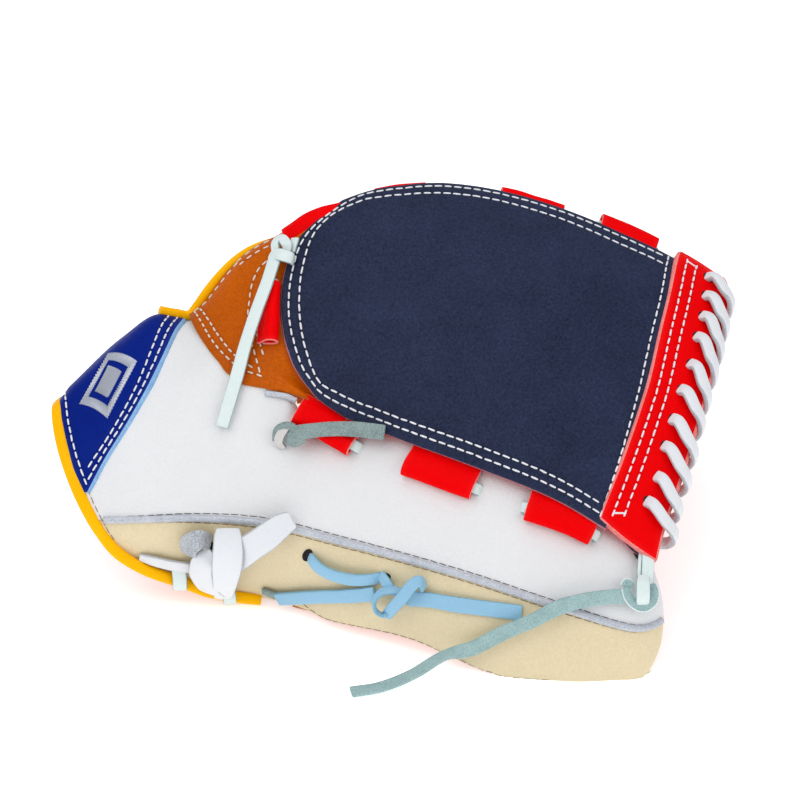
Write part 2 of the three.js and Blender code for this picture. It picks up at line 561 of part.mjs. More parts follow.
// Knots and the free ends of the laces.
add(
  knot("knot_top", "mint", 102.6, 3.72, 3.9, [9, 12, 7.4]),
  sweep("tail_top", "mint", over([[100.4, 3.54, 6.2], [97.2, 3.28, 8.6], [92.4, 2.95, 8.6],
    [87, 2.6, 5.6], [82, 2.2, 3.6], [75.3, 1.76, 3.6]]), LACE_WIDTH, LACE_THICK, 8, 14),
  knot("knot_low", "grey", 103.4, 1.64, 2.2, [8.4, 10, 7.6]),
  sweep("tail_low", "grey", over([[106.8, 1.68, 5.4], [112, 1.72, 7.2], [124, 1.82, 7], [136, 1.9, 6.6],
    [149.3, 1.97, 5.6]]),
    LACE_WIDTH + 0.8, LACE_THICK, 8, 14),
  knot("knot_tip", "mint", 261, 1.42, 3.4, [10, 11.5, 8.2]),
  sweep("tail_tip", "mint", [
    ...over([[256, 1.42, 3.8], [245.3, 1.3, 4.4], [227.4, 1.05, 5.6], [213.4, 0.8, 7.2],
      [200.9, 0.57, 5.4], [188, 0.28, 4]]),
    ...free([[174.6, 8.2, 11], [160, 1.5, 5.4], [146, -3, 1.9], [133, -6, 1.4]]),
  ], LACE_WIDTH + 0.6, LACE_THICK, 8, 26),
  sweep("lace_tip", "mint", over([[261.6, 1.89, 1.2], [262.2, 1.74, 2.4], [262, 1.59, 3]]), LACE_WIDTH,
    LACE_THICK, 8, 5),
  sweep("lace_thumb", "sky", over([[115.6, 0.8, 1.4], [119.9, 0.72, 2.2], [129, 0.66, 2.6],
    [138.1, 0.68, 2.2], [143.4, 0.7, 2]]),
    LACE_WIDTH, LACE_THICK, 8, 10),
  knot("knot_thumb", "sky", 151.5, 0.58, 4.3, [14, 13, 8.4]),
  sweep("tail_thumb_left", "sky", over([[144.4, 0.54, 3], [133, 0.42, 1.8], [116, 0.26, 1.4],
    [100.4, 0.12, 2.2]]),
    LACE_WIDTH + 0.8, LACE_THICK, 8, 14),
  sweep("tail_thumb_right", "sky", over([[158.6, 0.59, 3], [168, 0.64, 2], [178.7, 0.68, 1.4],
    [194, 0.75, 1.1], [208.5, 0.82, 1.1]]),
    LACE_WIDTH + 1, LACE_THICK, 8, 16),
  knot("knot_heel", "white", 72.4, 0.6, 5.3, [22, 27, 10]),
  sweep("tail_heel", "white", over([[85.4, 0.7, 7], [91, 0.8, 5.6], [96.3, 0.91, 4.6], [107.3, 1.1, 5]]),
    HEEL_LACE_WIDTH, LACE_THICK, 8, 10),
  sweep("lace_heel", "white", over([[62, 0.45, 2.6], [52, 0.38, 1.9], [45, 0.33, 1.8],
    [39, 0.31, 1.8]]), LACE_WIDTH, LACE_THICK, 8, 8),
);

glove.position.set(-MIDDLE[0], -MIDDLE[1], 0);

export default glove;
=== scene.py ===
"""Dresses the softball glove: panels, web, loops, bindings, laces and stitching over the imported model."""

import math

import bpy
import numpy as np
from bpy.props import FloatProperty, FloatVectorProperty, IntProperty, PointerProperty
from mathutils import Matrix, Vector
from mathutils.bvhtree import BVHTree
from mathutils.kdtree import KDTree


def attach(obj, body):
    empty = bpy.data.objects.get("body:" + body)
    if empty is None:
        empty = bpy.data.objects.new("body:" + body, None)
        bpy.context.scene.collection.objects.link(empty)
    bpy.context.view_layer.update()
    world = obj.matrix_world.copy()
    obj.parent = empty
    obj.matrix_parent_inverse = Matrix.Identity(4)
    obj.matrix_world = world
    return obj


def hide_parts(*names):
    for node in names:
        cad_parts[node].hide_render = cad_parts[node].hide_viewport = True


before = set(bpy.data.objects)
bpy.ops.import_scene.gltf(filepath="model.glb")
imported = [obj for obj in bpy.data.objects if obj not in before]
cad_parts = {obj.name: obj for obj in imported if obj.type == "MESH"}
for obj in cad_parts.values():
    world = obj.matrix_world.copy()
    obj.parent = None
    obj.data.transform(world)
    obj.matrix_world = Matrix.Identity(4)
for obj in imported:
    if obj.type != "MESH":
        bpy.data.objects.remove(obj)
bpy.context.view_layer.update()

bl_info = {
    "name": "Softball Glove",
    "version": (1, 0, 0),
    "blender": (4, 5, 0),
    "location": "View3D > Sidebar > Glove",
    "description": "Builds a softball glove with a closed two-layer web, laces and stitching",
    "category": "Add Mesh",
}

# Everything below is in glove millimetres until a mesh is made. x runs from the wrist to the fingertips, and
# u counts the lines along the glove: 0 thumb's lower edge, 1 welt, 2 web's foot, 4 crest, 5 to 7 finger gaps,
# 8 the little finger's side.
MIDDLE = np.array([152.46, 127.43, 0.0])  # becomes the model's origin
WALL = 2.4  # thickness of the leather
PALM_GAP = 0.8  # from the inner skin to the palm leather
LOWEST_AWAY = 0.4  # lowest line at which the way from the back to the palm is taken
ARCH = 0.62  # roundness of a finger's back, where less is squarer
SETTLE = 1.6  # how far leather that rests on the floor gives way
SOFT = 8.0  # height up to which it does
FINGER_START = 106.4  # x at which the fingers begin
FIRST_ROW = 15  # x of a thumb panel's first row, before it moves to the wrist's edge
EDGE_INSET = 1  # from the wrist's edge to that row
WEB_TOP = 4.03  # line of the navy web's top edge
CROSS_FOOT = 2.03  # lines between which the crossbar runs
CROSS_TOP = 4.14
OPENING_TOP = 4.12  # line of the hand opening's edge
SEAM_WIDTH = 1.1  # half width of the groove that a row of stitches presses
WORN_WIDTH = 1.6  # how far wear reaches in from an edge
LINE_WIDTH = 50  # millimetres that stand for one line where a row is made smooth
LATTICE = 24  # random values along each side of the noise's lattice

# The outer skin and the palm, a section in each row: x, then y and z on each of the nine lines.
OUTER = (
    (0, 59, 36, 61, 47, 75, 62, 92, 73, 107, 78, 126, 66, 147, 50, 163, 31, 172, 10),
    (30, 59, 29, 60, 47.7, 78, 76, 104, 91, 127, 97.5, 150, 83, 170, 62, 184, 38, 188, 10),
    (43, 60, 20, 59, 48.8, 80.5, 81, 106.5, 98, 134.5, 105, 155, 86, 174.5, 63, 189, 38, 193, 9),
    (60, 60, 10, 58, 50, 84, 87, 110, 101, 138, 102, 160, 84, 180, 63, 195, 38, 199, 7),
    (95, 60, 2, 53, 50.5, 90, 97.5, 118, 119, 153, 133, 176, 111, 198, 86, 214, 52, 217, 6),
    (130, 36, 7.5, 44, 46.8, 81, 91, 118.4, 124.6, 163, 152, 192, 118, 218, 86, 235, 46, 239, 4),
    (160, 22, 8, 33, 45, 65.5, 87.8, 109, 126.4, 167, 156, 198, 119, 224, 87, 242, 46, 246, 2),
    (190, 8, 2, 23, 41.3, 54.5, 82, 102, 125, 168, 154.5, 200, 117, 227, 85, 245, 45, 249, 1),
    (225, 1, -4, 14, 33.5, 43, 72.4, 94, 116, 165, 145.6, 197, 108, 223, 77, 240, 40, 245, 1),
    (255, 2, -4.5, 10, 25.3, 33, 57.4, 88, 100.7, 162, 133.7, 192, 98, 216, 67, 231, 34, 236, 1),
    (285, 5, -4, 12, 18, 30, 45, 82, 88, 157, 119.5, 185, 86, 207, 56, 221, 27, 226, 2),
    (310, 7, -4, 14, 12, 28, 35, 78, 76, 152, 105, 178, 73, 199, 45, 212, 20, 217, 2),
)
PALM = (
    (38, 62, 17, 70, 15, 85, 17, 105, 21, 125, 23, 142, 21, 158, 17, 172, 14, 180, 14),
    (60, 63, 8, 73, 13, 89, 27, 110, 38, 132, 42, 152, 38, 170, 27, 186, 15, 193, 7),
    (95, 63, 5, 75, 23, 93, 49, 116, 68, 140, 76, 163, 71, 183, 54, 200, 30, 210, 6),
    (130, 42, 10, 61, 25, 83, 63, 109, 94, 147, 124, 176, 98, 197, 72, 212, 40, 225, 6),
    (160, 29, 12, 53, 27, 75, 74, 104, 112, 150, 128, 181, 98, 204, 71, 221, 38, 231, 5),
    (190, 16, 9, 44, 24, 66, 70, 98, 110, 151, 126, 183, 96, 207, 69, 225, 37, 235, 4),
    (225, 9, 5, 34, 18, 54, 60, 90, 102, 149, 118, 181, 88, 205, 62, 222, 33, 232, 4),
    (255, 9, 4, 26, 14, 42, 46, 84, 88, 147, 108, 178, 79, 200, 54, 215, 28, 225, 4),
    (285, 11, 3, 22, 12, 36, 38, 78, 76, 143, 96, 171, 68, 192, 45, 206, 22, 215, 5),
    (310, 13, 3, 22, 9, 34, 30, 74, 64, 139, 84, 165, 57, 184, 35, 197, 16, 206, 5),
)
# From line, to line, x of the tip, the tip's rounding, the line on which it closes, bulge.
STALLS = {
    "thumb": (-0.12, 2.12, 272, 17, 1.32, 0),
    "index": (4.32, 4.985, 300, 16, 4.65, 2),
    "middle": (5.015, 5.985, 297, 16, 5.5, 4),
    "ring": (6.015, 6.985, 286, 16, 6.5, 4),
    "little": (7.015, 8.06, 268, 16, 7.5, 4),
}
# Edges of the leather as rows of u, x, and the white panel's as rows of x, u.
WRIST_EDGE = ((-0.2, 40), (0.04, 28.5), (0.5, 22.5), (0.96, 18.2), (1.53, 11.4), (2.1, 6.5), (2.6, 3.6),
              (3.2, 1.6), (3.86, 0.6), (4.6, 0), (6, 1), (7, 5), (8, 12))
STRAP_EDGE = ((1.4, 13.4), (1.87, 22.7), (2.31, 34.1), (2.7, 42.5), (3.07, 47.7), (3.6, 53), (4.15, 57),
              (4.6, 55), (5.5, 50), (7.3, 44))
RUST_LEFT = ((2, 97.8), (2.03, 92), (2.08, 86.5), (2.26, 79.7), (2.65, 73.1), (3.08, 67.7), (3.57, 62.8),
             (4.02, 60.2), (OPENING_TOP, 60))
WHITE_EDGE = ((15, 1.46), (22.7, 1.87), (34.1, 2.31), (42.5, 2.7), (47.7, 3.07), (52, 3.6), (55, 4.02),
              (57.4, 4.2), (60.3, 4.18), (62.6, 3.74), (67.7, 3.17), (73.1, 2.74), (79.7, 2.35), (86.5, 2.16),
              (97.3, 2.06), (104, 2.03), (110.5, 1.98), (300, 1.97))
WEB_LEFT = ((2, 131), (2.05, 120.5), (2.14, 113.6), (2.26, 108.6), (2.48, 104.6), (2.82, 102), (3.15, 101.5),
            (3.45, 103.8), (3.63, 107), (3.73, 110.6), (3.83, 117.5), (4.06, 130))
WEB_RIGHT = ((2, 245.5), (2.08, 246.7), (2.3, 250.8), (2.53, 255.3), (2.97, 263.5), (3.39, 270.8),
             (3.66, 275.7), (3.96, 279.3), (4.1, 280.5))
CROSS_RIGHT = ((1.91, 270.2), (2.17, 273.4), (2.63, 281.6), (3.17, 290.6), (3.5, 297.3), (3.9, 302.4),
               (4.18, 301))
# The crossbar's holes, as x and u.
CROSS_HOLES = ((294.2, 3.92), (293, 3.74), (291.4, 3.59), (288.6, 3.45), (285.4, 3.28), (281, 3.11),
               (277, 2.9), (273.4, 2.71), (269.8, 2.5), (265.4, 2.31))
# Where the mint lace in a loop begins and ends, as parts of the loop's length, and how far it is raised
# there. It stops inside the loop, or comes out and dips under the leather.
START_INSIDE = ((0.1, 0), (0.12, 0))
START_OUTSIDE = ((-0.07, -4.4), (-0.05, -1.8))
END_INSIDE = ((0.9, 0), (0.92, 0))
END_OUTSIDE = ((1.04, -1.8), (1.08, -4.4))
# Name, x and u of one end, x and u of the other, height of the axis, width, how far it reaches under the web,
# how far its second end sinks, the side on which its fold lies, and its lace's start and end.
LOOPS = (
    ("top_left", 102.5, 3.95, 128, 3.9, -1.2, 10, 4, 2.2, -1, START_OUTSIDE, END_OUTSIDE),
    ("left", 98.4, 3.32, 96.9, 2.56, 3.6, 7.4, 2.5, 0, -1, START_OUTSIDE, END_INSIDE),
    ("low_1", 108.5, 1.86, 134, 1.78, 1.95, 11.5, 3.6, 0, 1, START_INSIDE, END_OUTSIDE),
    ("low_2", 157.5, 1.8, 187.4, 1.8, 1.45, 11.5, 3.6, 0, 1, START_INSIDE, END_OUTSIDE),
    ("low_3", 211, 1.8, 240, 1.87, 1.4, 11.5, 3.6, 0, 1, START_OUTSIDE, END_OUTSIDE),
    ("top_1", 143, 4.185, 166, 4.185, -3.6, 9, 2, 0, -1, None, None),
    ("top_2", 201, 4.165, 229, 4.165, -2.8, 9, 2, 0, -1, None, None),
    ("top_3", 246, 4.155, 271, 4.165, -0.4, 10, 2, 0, -1, START_OUTSIDE, END_OUTSIDE),
)
# Name, place in metres, power in watts and width in metres of each lamp.
LAMPS = (
    ("key", (-0.9, -0.9, 1.7), 14, 1.5),
    ("fill", (1.3, -1.1, 1.2), 8, 1.5),
    ("top", (0.1, 0.5, 1.9), 11, 1.8),
)


def along(rows, at):
    """A smooth curve through a table's rows, whose first column holds the knots; straight beyond its ends."""
    table = np.array(rows, float)
    knots, values = table[:, 0], table[:, 1:]
    at = np.asarray(at, float)
    step = np.diff(knots)
    slope = np.diff(values, axis=0) / step[:, None]
    inner = (slope[:-1] * step[1:, None] + slope[1:] * step[:-1, None]) / (step[:-1] + step[1:])[:, None]
    bend = np.vstack([slope[:1], inner, slope[-1:]])
    i = np.clip(np.searchsorted(knots, at) - 1, 0, len(step) - 1)
    t = ((at - knots[i]) / step[i])[..., None]
    width = step[i][..., None]
    return hermite(values[i], values[i + 1], bend[i] * width, bend[i + 1] * width, t)


def hermite(a, b, m0, m1, t):
    """From a to b with slopes m0 and m1 as t goes from 0 to 1, and straight on outside."""
    k = np.clip(t, 0, 1)
    inside = (a * (1 + 2 * k) * (1 - k) ** 2 + m0 * k * (1 - k) ** 2 + b * k * k * (3 - 2 * k)
              + m1 * k * k * (k - 1))
    return inside + np.minimum(t, 0) * m0 + np.maximum(t - 1, 0) * m1


def edge(rows, at):
    """Where an edge of two columns lies at a line or at x."""
    return along(rows, at)[..., 0]


def on(table, x, u):
    """Points on a skin at x and line u."""
    x, u = (np.array(v, float) for v in np.broadcast_arrays(x, u))
    rows = along(table, x).reshape(x.shape + (9, 2))
    slope = np.diff(rows, axis=-2)
    inner = (slope[..., :-1, :] + slope[..., 1:, :]) / 2
    bend = np.concatenate([slope[..., :1, :], inner, slope[..., -1:, :]], axis=-2)
    i = np.clip(np.ceil(u).astype(int) - 1, 0, 7)

    def pick(values, k):
        return np.take_along_axis(values, k[..., None, None], axis=-2)[..., 0, :]

    yz = hermite(pick(rows, i), pick(rows, i + 1), pick(bend, i), pick(bend, i + 1), (u - i)[..., None])
    return np.concatenate([x[..., None], yz], axis=-1)


def unit(v):
    """Vectors of length 1."""
    return v / np.maximum(np.linalg.norm(v, axis=-1, keepdims=True), 1e-9)


def normal(x, u):
    """The outer skin's outward direction."""
    du = on(OUTER, x, np.add(u, 0.02)) - on(OUTER, x, np.subtract(u, 0.02))
    dx = on(OUTER, np.add(x, 1.0), u) - on(OUTER, np.subtract(x, 1.0), u)
    return unit(np.cross(dx, du))


def skin(x, u, lift=0.0):
    """A point on the outer skin, or over it by lift."""
    return on(OUTER, x, u) + normal(x, u) * np.asarray(lift, float)[..., None]


def mix(a, b, t):
    """From a to b as t goes from 0 to 1."""
    return a + (b - a) * t


def bow(t):
    """From -1 to 1 as t does, slower towards the ends."""
    return np.sin(np.asarray(t, float) * np.pi / 2)


def ease(a, b, v):
    """From 0 at a to 1 at b, flat beyond both."""
    t = np.clip((np.asarray(v, float) - a) / (b - a), 0, 1)
    return t * t * (3 - 2 * t)


def bump(centre, half, v):
    """1 at centre, falling to 0 at half to either side."""
    return 1 - ease(0, half, np.abs(np.asarray(v, float) - centre))


def stall_place(stall, x, across, height, depth, palm=False):
    """A point of a stall: across from -1 to 1, height over the palm from 0 to 1, depth inside the leather."""
    start, end, tip, rounding, closes, bulge = STALLS[stall]
    x, across, height = (np.array(v, float) for v in np.broadcast_arrays(x, across, height))
    middle, half, foot = (start + end) / 2, (end - start) / 2, tip - rounding
    turn = np.clip((x - foot) / rounding, 0, 1) * np.pi * 0.485
    c = np.cos(turn)
    rim = rounding - (0 if palm else max(depth, 0))
    at = np.where(x <= foot, x, foot + rim * np.sin(turn))
    width = np.linalg.norm(on(OUTER, at, end) - on(OUTER, at, start), axis=-1) / 2
    a = across if palm else across * (1 - depth / width)
    u = mix(closes, middle + half * a, c)
    low = on(PALM, at, u)
    high = skin(at, u, bulge * c * np.cos(a * np.pi / 2))
    if palm:
        line = np.maximum(u, LOWEST_AWAY)
        away = unit(on(PALM, at, line) - on(OUTER, at, line)) * ((PALM_GAP + depth) * c)[..., None]
        return low + (high - low) * (0.5 * (1 - c))[..., None] + away
    tall = np.linalg.norm(high - low, axis=-1)
    return low + (high - low) * mix(0.5, height * (1 - depth / tall), c)[..., None]


def stall_back(stall, x, across, depth):
    """A point of a stall's arched back."""
    height = (1 - np.minimum(np.abs(across), 1) ** (2 / ARCH)) ** (ARCH / 2)
    return stall_place(stall, x, across, height, depth)


def on_floor(p, lowest, inward=0.0):
    """Leather low down settles where it rests, and stays over lowest."""
    z = p[..., 2]
    z = np.where(z < SOFT, z - SETTLE * (1 - np.maximum(z - SETTLE, 0) / (SOFT - SETTLE)), z)
    y = p[..., 1] + inward * np.maximum(lowest - z, 0)
    return np.stack([p[..., 0], y, np.maximum(z, lowest)], axis=-1)


def lumps(p, size, seed):
    """Smooth noise from -1 to 1 over points p, with features of about size."""
    lattice = np.random.RandomState(seed).uniform(-1, 1, (LATTICE, LATTICE, LATTICE))
    q = np.asarray(p, float) / np.asarray(size, float)
    i = np.floor(q).astype(int)
    f = q - i
    f = f * f * (3 - 2 * f)
    total = 0.0
    for corner in np.ndindex(2, 2, 2):
        k = (i + corner) % LATTICE
        weight = np.prod(np.where(np.array(corner) == 1, f, 1 - f), axis=-1)
        total = total + lattice[k[..., 0], k[..., 1], k[..., 2]] * weight
    return total


def spline(points, n):
    """n + 1 points on a centripetal curve through points."""
    p = np.array(points, float)
    p = np.vstack([2 * p[0] - p[1], p, 2 * p[-1] - p[-2]])
    at = np.linspace(0, len(points) - 1, n + 1)
    i = np.minimum(at.astype(int), len(points) - 2)
    w = (at - i)[:, None]
    a, b, c, d = p[i], p[i + 1], p[i + 2], p[i + 3]
    dt = [np.maximum(np.linalg.norm(v, axis=1, keepdims=True) ** 0.5, 1e-4) for v in (b - a, c - b, d - c)]
    t1 = ((b - a) / dt[0] - (c - a) / (dt[0] + dt[1]) + (c - b) / dt[1]) * dt[1]
    t2 = ((c - b) / dt[1] - (d - b) / (dt[1] + dt[2]) + (d - c) / dt[2]) * dt[1]
    return hermite(b, c, t1, t2, w)


def over(rows):
    """Points and outward directions of a route from rows of x, u, lift."""
    x, u, lift = np.array(rows, float).T
    return skin(x, u, lift), normal(x, u)


# Materials


def new_group(name, inputs, outputs):
    """A shader node group with its sockets, and its input and output nodes."""
    group = bpy.data.node_groups.new(name, "ShaderNodeTree")
    for label, kind, value in inputs:
        socket = group.interface.new_socket(label, in_out="INPUT", socket_type=kind)
        socket.default_value = value
    for label, kind in outputs:
        group.interface.new_socket(label, in_out="OUTPUT", socket_type=kind)
    return group, group.nodes.new("NodeGroupInput"), group.nodes.new("NodeGroupOutput")


def node(tree, kind, settings=None, **inputs):
    """A new node; a setting is a property of it, and an input a value or another node's socket."""
    made = tree.nodes.new(kind)
    for key, value in (settings or {}).items():
        setattr(made, key, value)
    for key, value in inputs.items():
        socket = made.inputs[int(key[1:])] if key[0] == "_" else made.inputs[key.replace("_", " ")]
        if isinstance(value, bpy.types.NodeSocket):
            tree.links.new(value, socket)
        else:
            socket.default_value = value
    return made


def maths(tree, operation, a, b=0.0):
    """The result of a Math node."""
    return node(tree, "ShaderNodeMath", {"operation": operation}, _0=a, _1=b).outputs[0]


def blend_colour(tree, factor, a, b, kind="MIX"):
    """The result of a colour Mix node."""
    made = node(tree, "ShaderNodeMix", {"data_type": "RGBA", "blend_type": kind}, _0=factor, _6=a, _7=b)
    return made.outputs[2]


def leather_group():
    """Grain, mottling, edge wear and painted shade in the seam grooves of smooth leather."""
    group, start, end = new_group(
        "Leather",
        [
            ("Colour", "NodeSocketColor", (0.5, 0.5, 0.5, 1)),
            ("Worn", "NodeSocketColor", (0.7, 0.7, 0.7, 1)),
            ("Mottling", "NodeSocketFloat", 0.15),
            ("Grain", "NodeSocketFloat", 1.0),
            ("Roughness", "NodeSocketFloat", 0.45),
            ("Wear", "NodeSocketFloat", 0.4),
        ],
        [("Colour", "NodeSocketColor"), ("Roughness", "NodeSocketFloat"), ("Height", "NodeSocketFloat")],
    )
    place = node(group, "ShaderNodeTexCoord").outputs["Object"]
    pebble = node(group, "ShaderNodeTexVoronoi", {"feature": "SMOOTH_F1"}, Vector=place, Scale=1150.0,
                  Smoothness=0.6)
    pores = node(group, "ShaderNodeTexNoise", Vector=place, Scale=2600.0, Detail=2.0)
    cloud = node(group, "ShaderNodeTexNoise", Vector=place, Scale=38.0, Detail=5.0, Roughness=0.6)
    fine = node(group, "ShaderNodeTexNoise", Vector=place, Scale=850.0, Detail=3.0, Roughness=0.7)
    rim = node(group, "ShaderNodeAttribute", {"attribute_name": "rim"}).outputs["Fac"]
    press = node(group, "ShaderNodeAttribute", {"attribute_name": "press"}).outputs["Fac"]
    tone = maths(group, "ADD", maths(group, "MULTIPLY", cloud.outputs["Fac"], 0.3),
                 maths(group, "MULTIPLY", fine.outputs["Fac"], 0.7))
    tone = maths(group, "MULTIPLY", maths(group, "SUBTRACT", tone, 0.5), 2.4)
    amount = maths(group, "MULTIPLY", maths(group, "ABSOLUTE", tone), start.outputs["Mottling"])
    darker = blend_colour(group, 1.0, start.outputs["Colour"], (0.45, 0.44, 0.46, 1), "MULTIPLY")
    lighter = blend_colour(group, 0.6, start.outputs["Colour"], start.outputs["Colour"], "ADD")
    shade = blend_colour(group, maths(group, "GREATER_THAN", tone, 0.0), darker, lighter)
    colour = blend_colour(group, amount, start.outputs["Colour"], shade)
    # Painted shade: the colour is darker where a row of stitches presses a groove, read from the press
    # attribute.
    groove_shade = blend_colour(group, 1.0, colour, (0.55, 0.53, 0.53, 1), "MULTIPLY")
    colour = blend_colour(group, maths(group, "MULTIPLY", press, 0.45), colour, groove_shade)
    wear = maths(group, "MULTIPLY", rim, start.outputs["Wear"])
    worn = maths(group, "MULTIPLY", wear, fine.outputs["Fac"])
    colour = blend_colour(group, worn, colour, start.outputs["Worn"])
    rough = maths(group, "ADD", start.outputs["Roughness"],
                  maths(group, "MULTIPLY", maths(group, "SUBTRACT", fine.outputs["Fac"], 0.5), 0.22))
    height = maths(group, "ADD", maths(group, "MULTIPLY", pebble.outputs["Distance"], 0.7),
                   maths(group, "MULTIPLY", pores.outputs["Fac"], 0.3))
    height = maths(group, "MULTIPLY", height, start.outputs["Grain"])
    group.links.new(colour, end.inputs["Colour"])
    group.links.new(rough, end.inputs["Roughness"])
    group.links.new(height, end.inputs["Height"])
    return group


def suede_group():
    """The speckled, fibrous flesh side and cut edges of leather."""
    group, start, end = new_group(
        "Suede",
        [
            ("Colour", "NodeSocketColor", (0.5, 0.5, 0.5, 1)),
            ("Speckle", "NodeSocketColor", (0.3, 0.3, 0.3, 1)),
            ("Amount", "NodeSocketFloat", 0.5),
        ],
        [("Colour", "NodeSocketColor"), ("Height", "NodeSocketFloat")],
    )
    place = node(group, "ShaderNodeTexCoord").outputs["Object"]
    fibre = node(group, "ShaderNodeTexNoise", Vector=place, Scale=1500.0, Detail=4.0, Roughness=0.75)
    patch = node(group, "ShaderNodeTexNoise", Vector=place, Scale=160.0, Detail=3.0)
    mask = maths(group, "ADD", maths(group, "MULTIPLY", fibre.outputs["Fac"], 0.75),
                 maths(group, "MULTIPLY", patch.outputs["Fac"], 0.25))
    sharp = node(group, "ShaderNodeMapRange", Value=mask, _1=0.42, _2=0.6, _3=0.0, _4=1.0).outputs[0]
    factor = maths(group, "MULTIPLY", sharp, start.outputs["Amount"])
    colour = blend_colour(group, factor, start.outputs["Colour"], start.outputs["Speckle"])
    group.links.new(colour, end.inputs["Colour"])
    group.links.new(fibre.outputs["Fac"], end.inputs["Height"])
    return group


def thread_group():
    """Twisted strands of a thread."""
    group, start, end = new_group(
        "Thread",
        [("Colour", "NodeSocketColor", (0.8, 0.8, 0.8, 1)), ("Scale", "NodeSocketFloat", 1.0)],
        [("Colour", "NodeSocketColor"), ("Height", "NodeSocketFloat")],
    )
    place = node(group, "ShaderNodeTexCoord").outputs["Object"]
    strand = node(group, "ShaderNodeTexNoise", Vector=place, Detail=2.0,
                  Scale=maths(group, "MULTIPLY", start.outputs["Scale"], 2200.0))
    dark = blend_colour(group, 1.0, start.outputs["Colour"], (0.72, 0.72, 0.75, 1), "MULTIPLY")
    colour = blend_colour(group, strand.outputs["Fac"], dark, start.outputs["Colour"])
    group.links.new(colour, end.inputs["Colour"])
    group.links.new(strand.outputs["Fac"], end.inputs["Height"])
    return group


def finish_material(name, group, relief, settings, **values):
    """A material with one Principled shader fed by a group; settings go on the shader's own sockets."""
    strength, distance = relief
    material = bpy.data.materials.new("glove_" + name)
    material.use_nodes = True
    tree = material.node_tree
    shader = tree.nodes["Principled BSDF"]
    pattern = tree.nodes.new("ShaderNodeGroup")
    pattern.node_tree = group
    for key, value in values.items():
        pattern.inputs[key].default_value = value
    bumps = node(tree, "ShaderNodeBump", Strength=strength, Distance=distance,
                 Height=pattern.outputs["Height"])
    tree.links.new(pattern.outputs["Colour"], shader.inputs["Base Color"])
    if "Roughness" in pattern.outputs:
        tree.links.new(pattern.outputs["Roughness"], shader.inputs["Roughness"])
    tree.links.new(bumps.outputs["Normal"], shader.inputs["Normal"])
    for key, value in settings.items():
        shader.inputs[key].default_value = value
    return material


def rgb(*values):
    """Linear colour from 0 to 255 display values."""
    c = np.array(values, float) / 255
    return tuple(np.where(c <= 0.04045, c / 12.92, ((c + 0.055) / 1.055) ** 2.4)) + (1.0,)


def make_materials(sizes):
    """Every leather, lace, cut edge and thread of the glove."""
    leather, suede, thread = leather_group(), suede_group(), thread_group()

    def smooth(name, colour, worn, rough, mottling, grain=1.0, wear=0.4, shine=0.35):
        finish_material(name, leather, (0.45, 0.0005), {"Specular IOR Level": shine},
                        Colour=(*colour[:3], 1), Worn=worn, Roughness=rough, Mottling=mottling, Grain=grain,
                        Wear=wear)

    def rough(name, colour, speckle, amount):
        finish_material(name, suede, (0.5, 0.0004), {"Roughness": 0.95, "Specular IOR Level": 0.15},
                        Colour=colour, Speckle=speckle, Amount=amount)

    def sewn(name, colour, roughness):
        finish_material(name, thread, (0.3, 0.0002), {"Roughness": roughness}, Colour=colour, Scale=1.0)

    smooth("navy_leather", sizes.navy, rgb(74, 80, 102), 0.5, 2.2, 1.0, 0.3, 0.06)
    smooth("red_leather", sizes.red, rgb(240, 50, 50), 0.5, 0.35, 0.8, 0.3, 0.03)
    smooth("white_leather", sizes.white, rgb(205, 206, 210), 0.5, 0.13, 0.7, 0.3)
    smooth("tan_leather", sizes.tan, rgb(190, 168, 128), 0.46, 0.28, 0.7, 0.5)
    smooth("rust_leather", sizes.rust, rgb(120, 48, 6), 0.42, 1.0, 0.9, 0.5, 0.07)
    smooth("blue_leather", sizes.blue, rgb(60, 86, 170), 0.45, 0.8, 0.8, 0.3, 0.05)
    smooth("gold_binding", sizes.gold, rgb(214, 140, 8), 0.4, 0.22, 0.6, 0.3, 0.06)
    finish_material("silver_welt", suede, (0.6, 0.0004),
                    {"Roughness": 0.45, "Metallic": 0.15, "Specular IOR Level": 0.6},
                    Colour=rgb(200, 204, 212), Speckle=rgb(136, 142, 154), Amount=0.6)
    smooth("white_lace", rgb(219, 221, 225), rgb(196, 200, 204), 0.5, 0.12, 0.5)
    smooth("mint_lace", rgb(214, 226, 224), rgb(176, 200, 202), 0.55, 0.12, 0.5)
    smooth("sky_lace", rgb(140, 186, 214), rgb(110, 160, 190), 0.5, 0.2, 0.5)
    rough("mint_suede", rgb(166, 192, 192), rgb(120, 150, 152), 0.7)
    smooth("grey_lace", rgb(204, 200, 196), rgb(150, 160, 158), 0.55, 0.2, 0.5)
    rough("grey_suede", rgb(150, 166, 164), rgb(98, 116, 116), 0.8)
    rough("sky_suede", rgb(140, 186, 208), rgb(100, 146, 172), 0.6)
    rough("white_suede", rgb(196, 200, 204), rgb(150, 155, 162), 0.6)
    rough("pale_suede", rgb(200, 204, 210), rgb(120, 126, 134), 0.8)
    rough("web_edge", rgb(196, 128, 136), rgb(150, 92, 108), 0.6)
    rough("blue_edge", rgb(150, 192, 230), rgb(92, 140, 200), 0.6)
    rough("red_edge", rgb(238, 150, 144), rgb(216, 60, 60), 0.6)
    rough("rust_edge", rgb(205, 150, 96), rgb(120, 70, 30), 0.6)
    rough("tan_edge", rgb(196, 178, 142), rgb(140, 116, 84), 0.6)
    # Painted shadow: near-black colour of the patches that stand for the shade inside the lace holes.
    rough("painted_hole_shadow", rgb(46, 40, 40), rgb(20, 18, 18), 0.6)
    sewn("white_thread", rgb(244, 245, 247), 0.6)
    sewn("rust_thread", rgb(238, 226, 208), 0.6)
    sewn("seam_thread", rgb(150, 128, 100), 0.7)
    sewn("seam_dark", rgb(96, 88, 92), 0.8)
    finish_material("silver_thread", thread, (0.25, 0.0002), {"Roughness": 0.3, "Metallic": 0.5},
                    Colour=rgb(212, 216, 224), Scale=0.6)


# Meshes


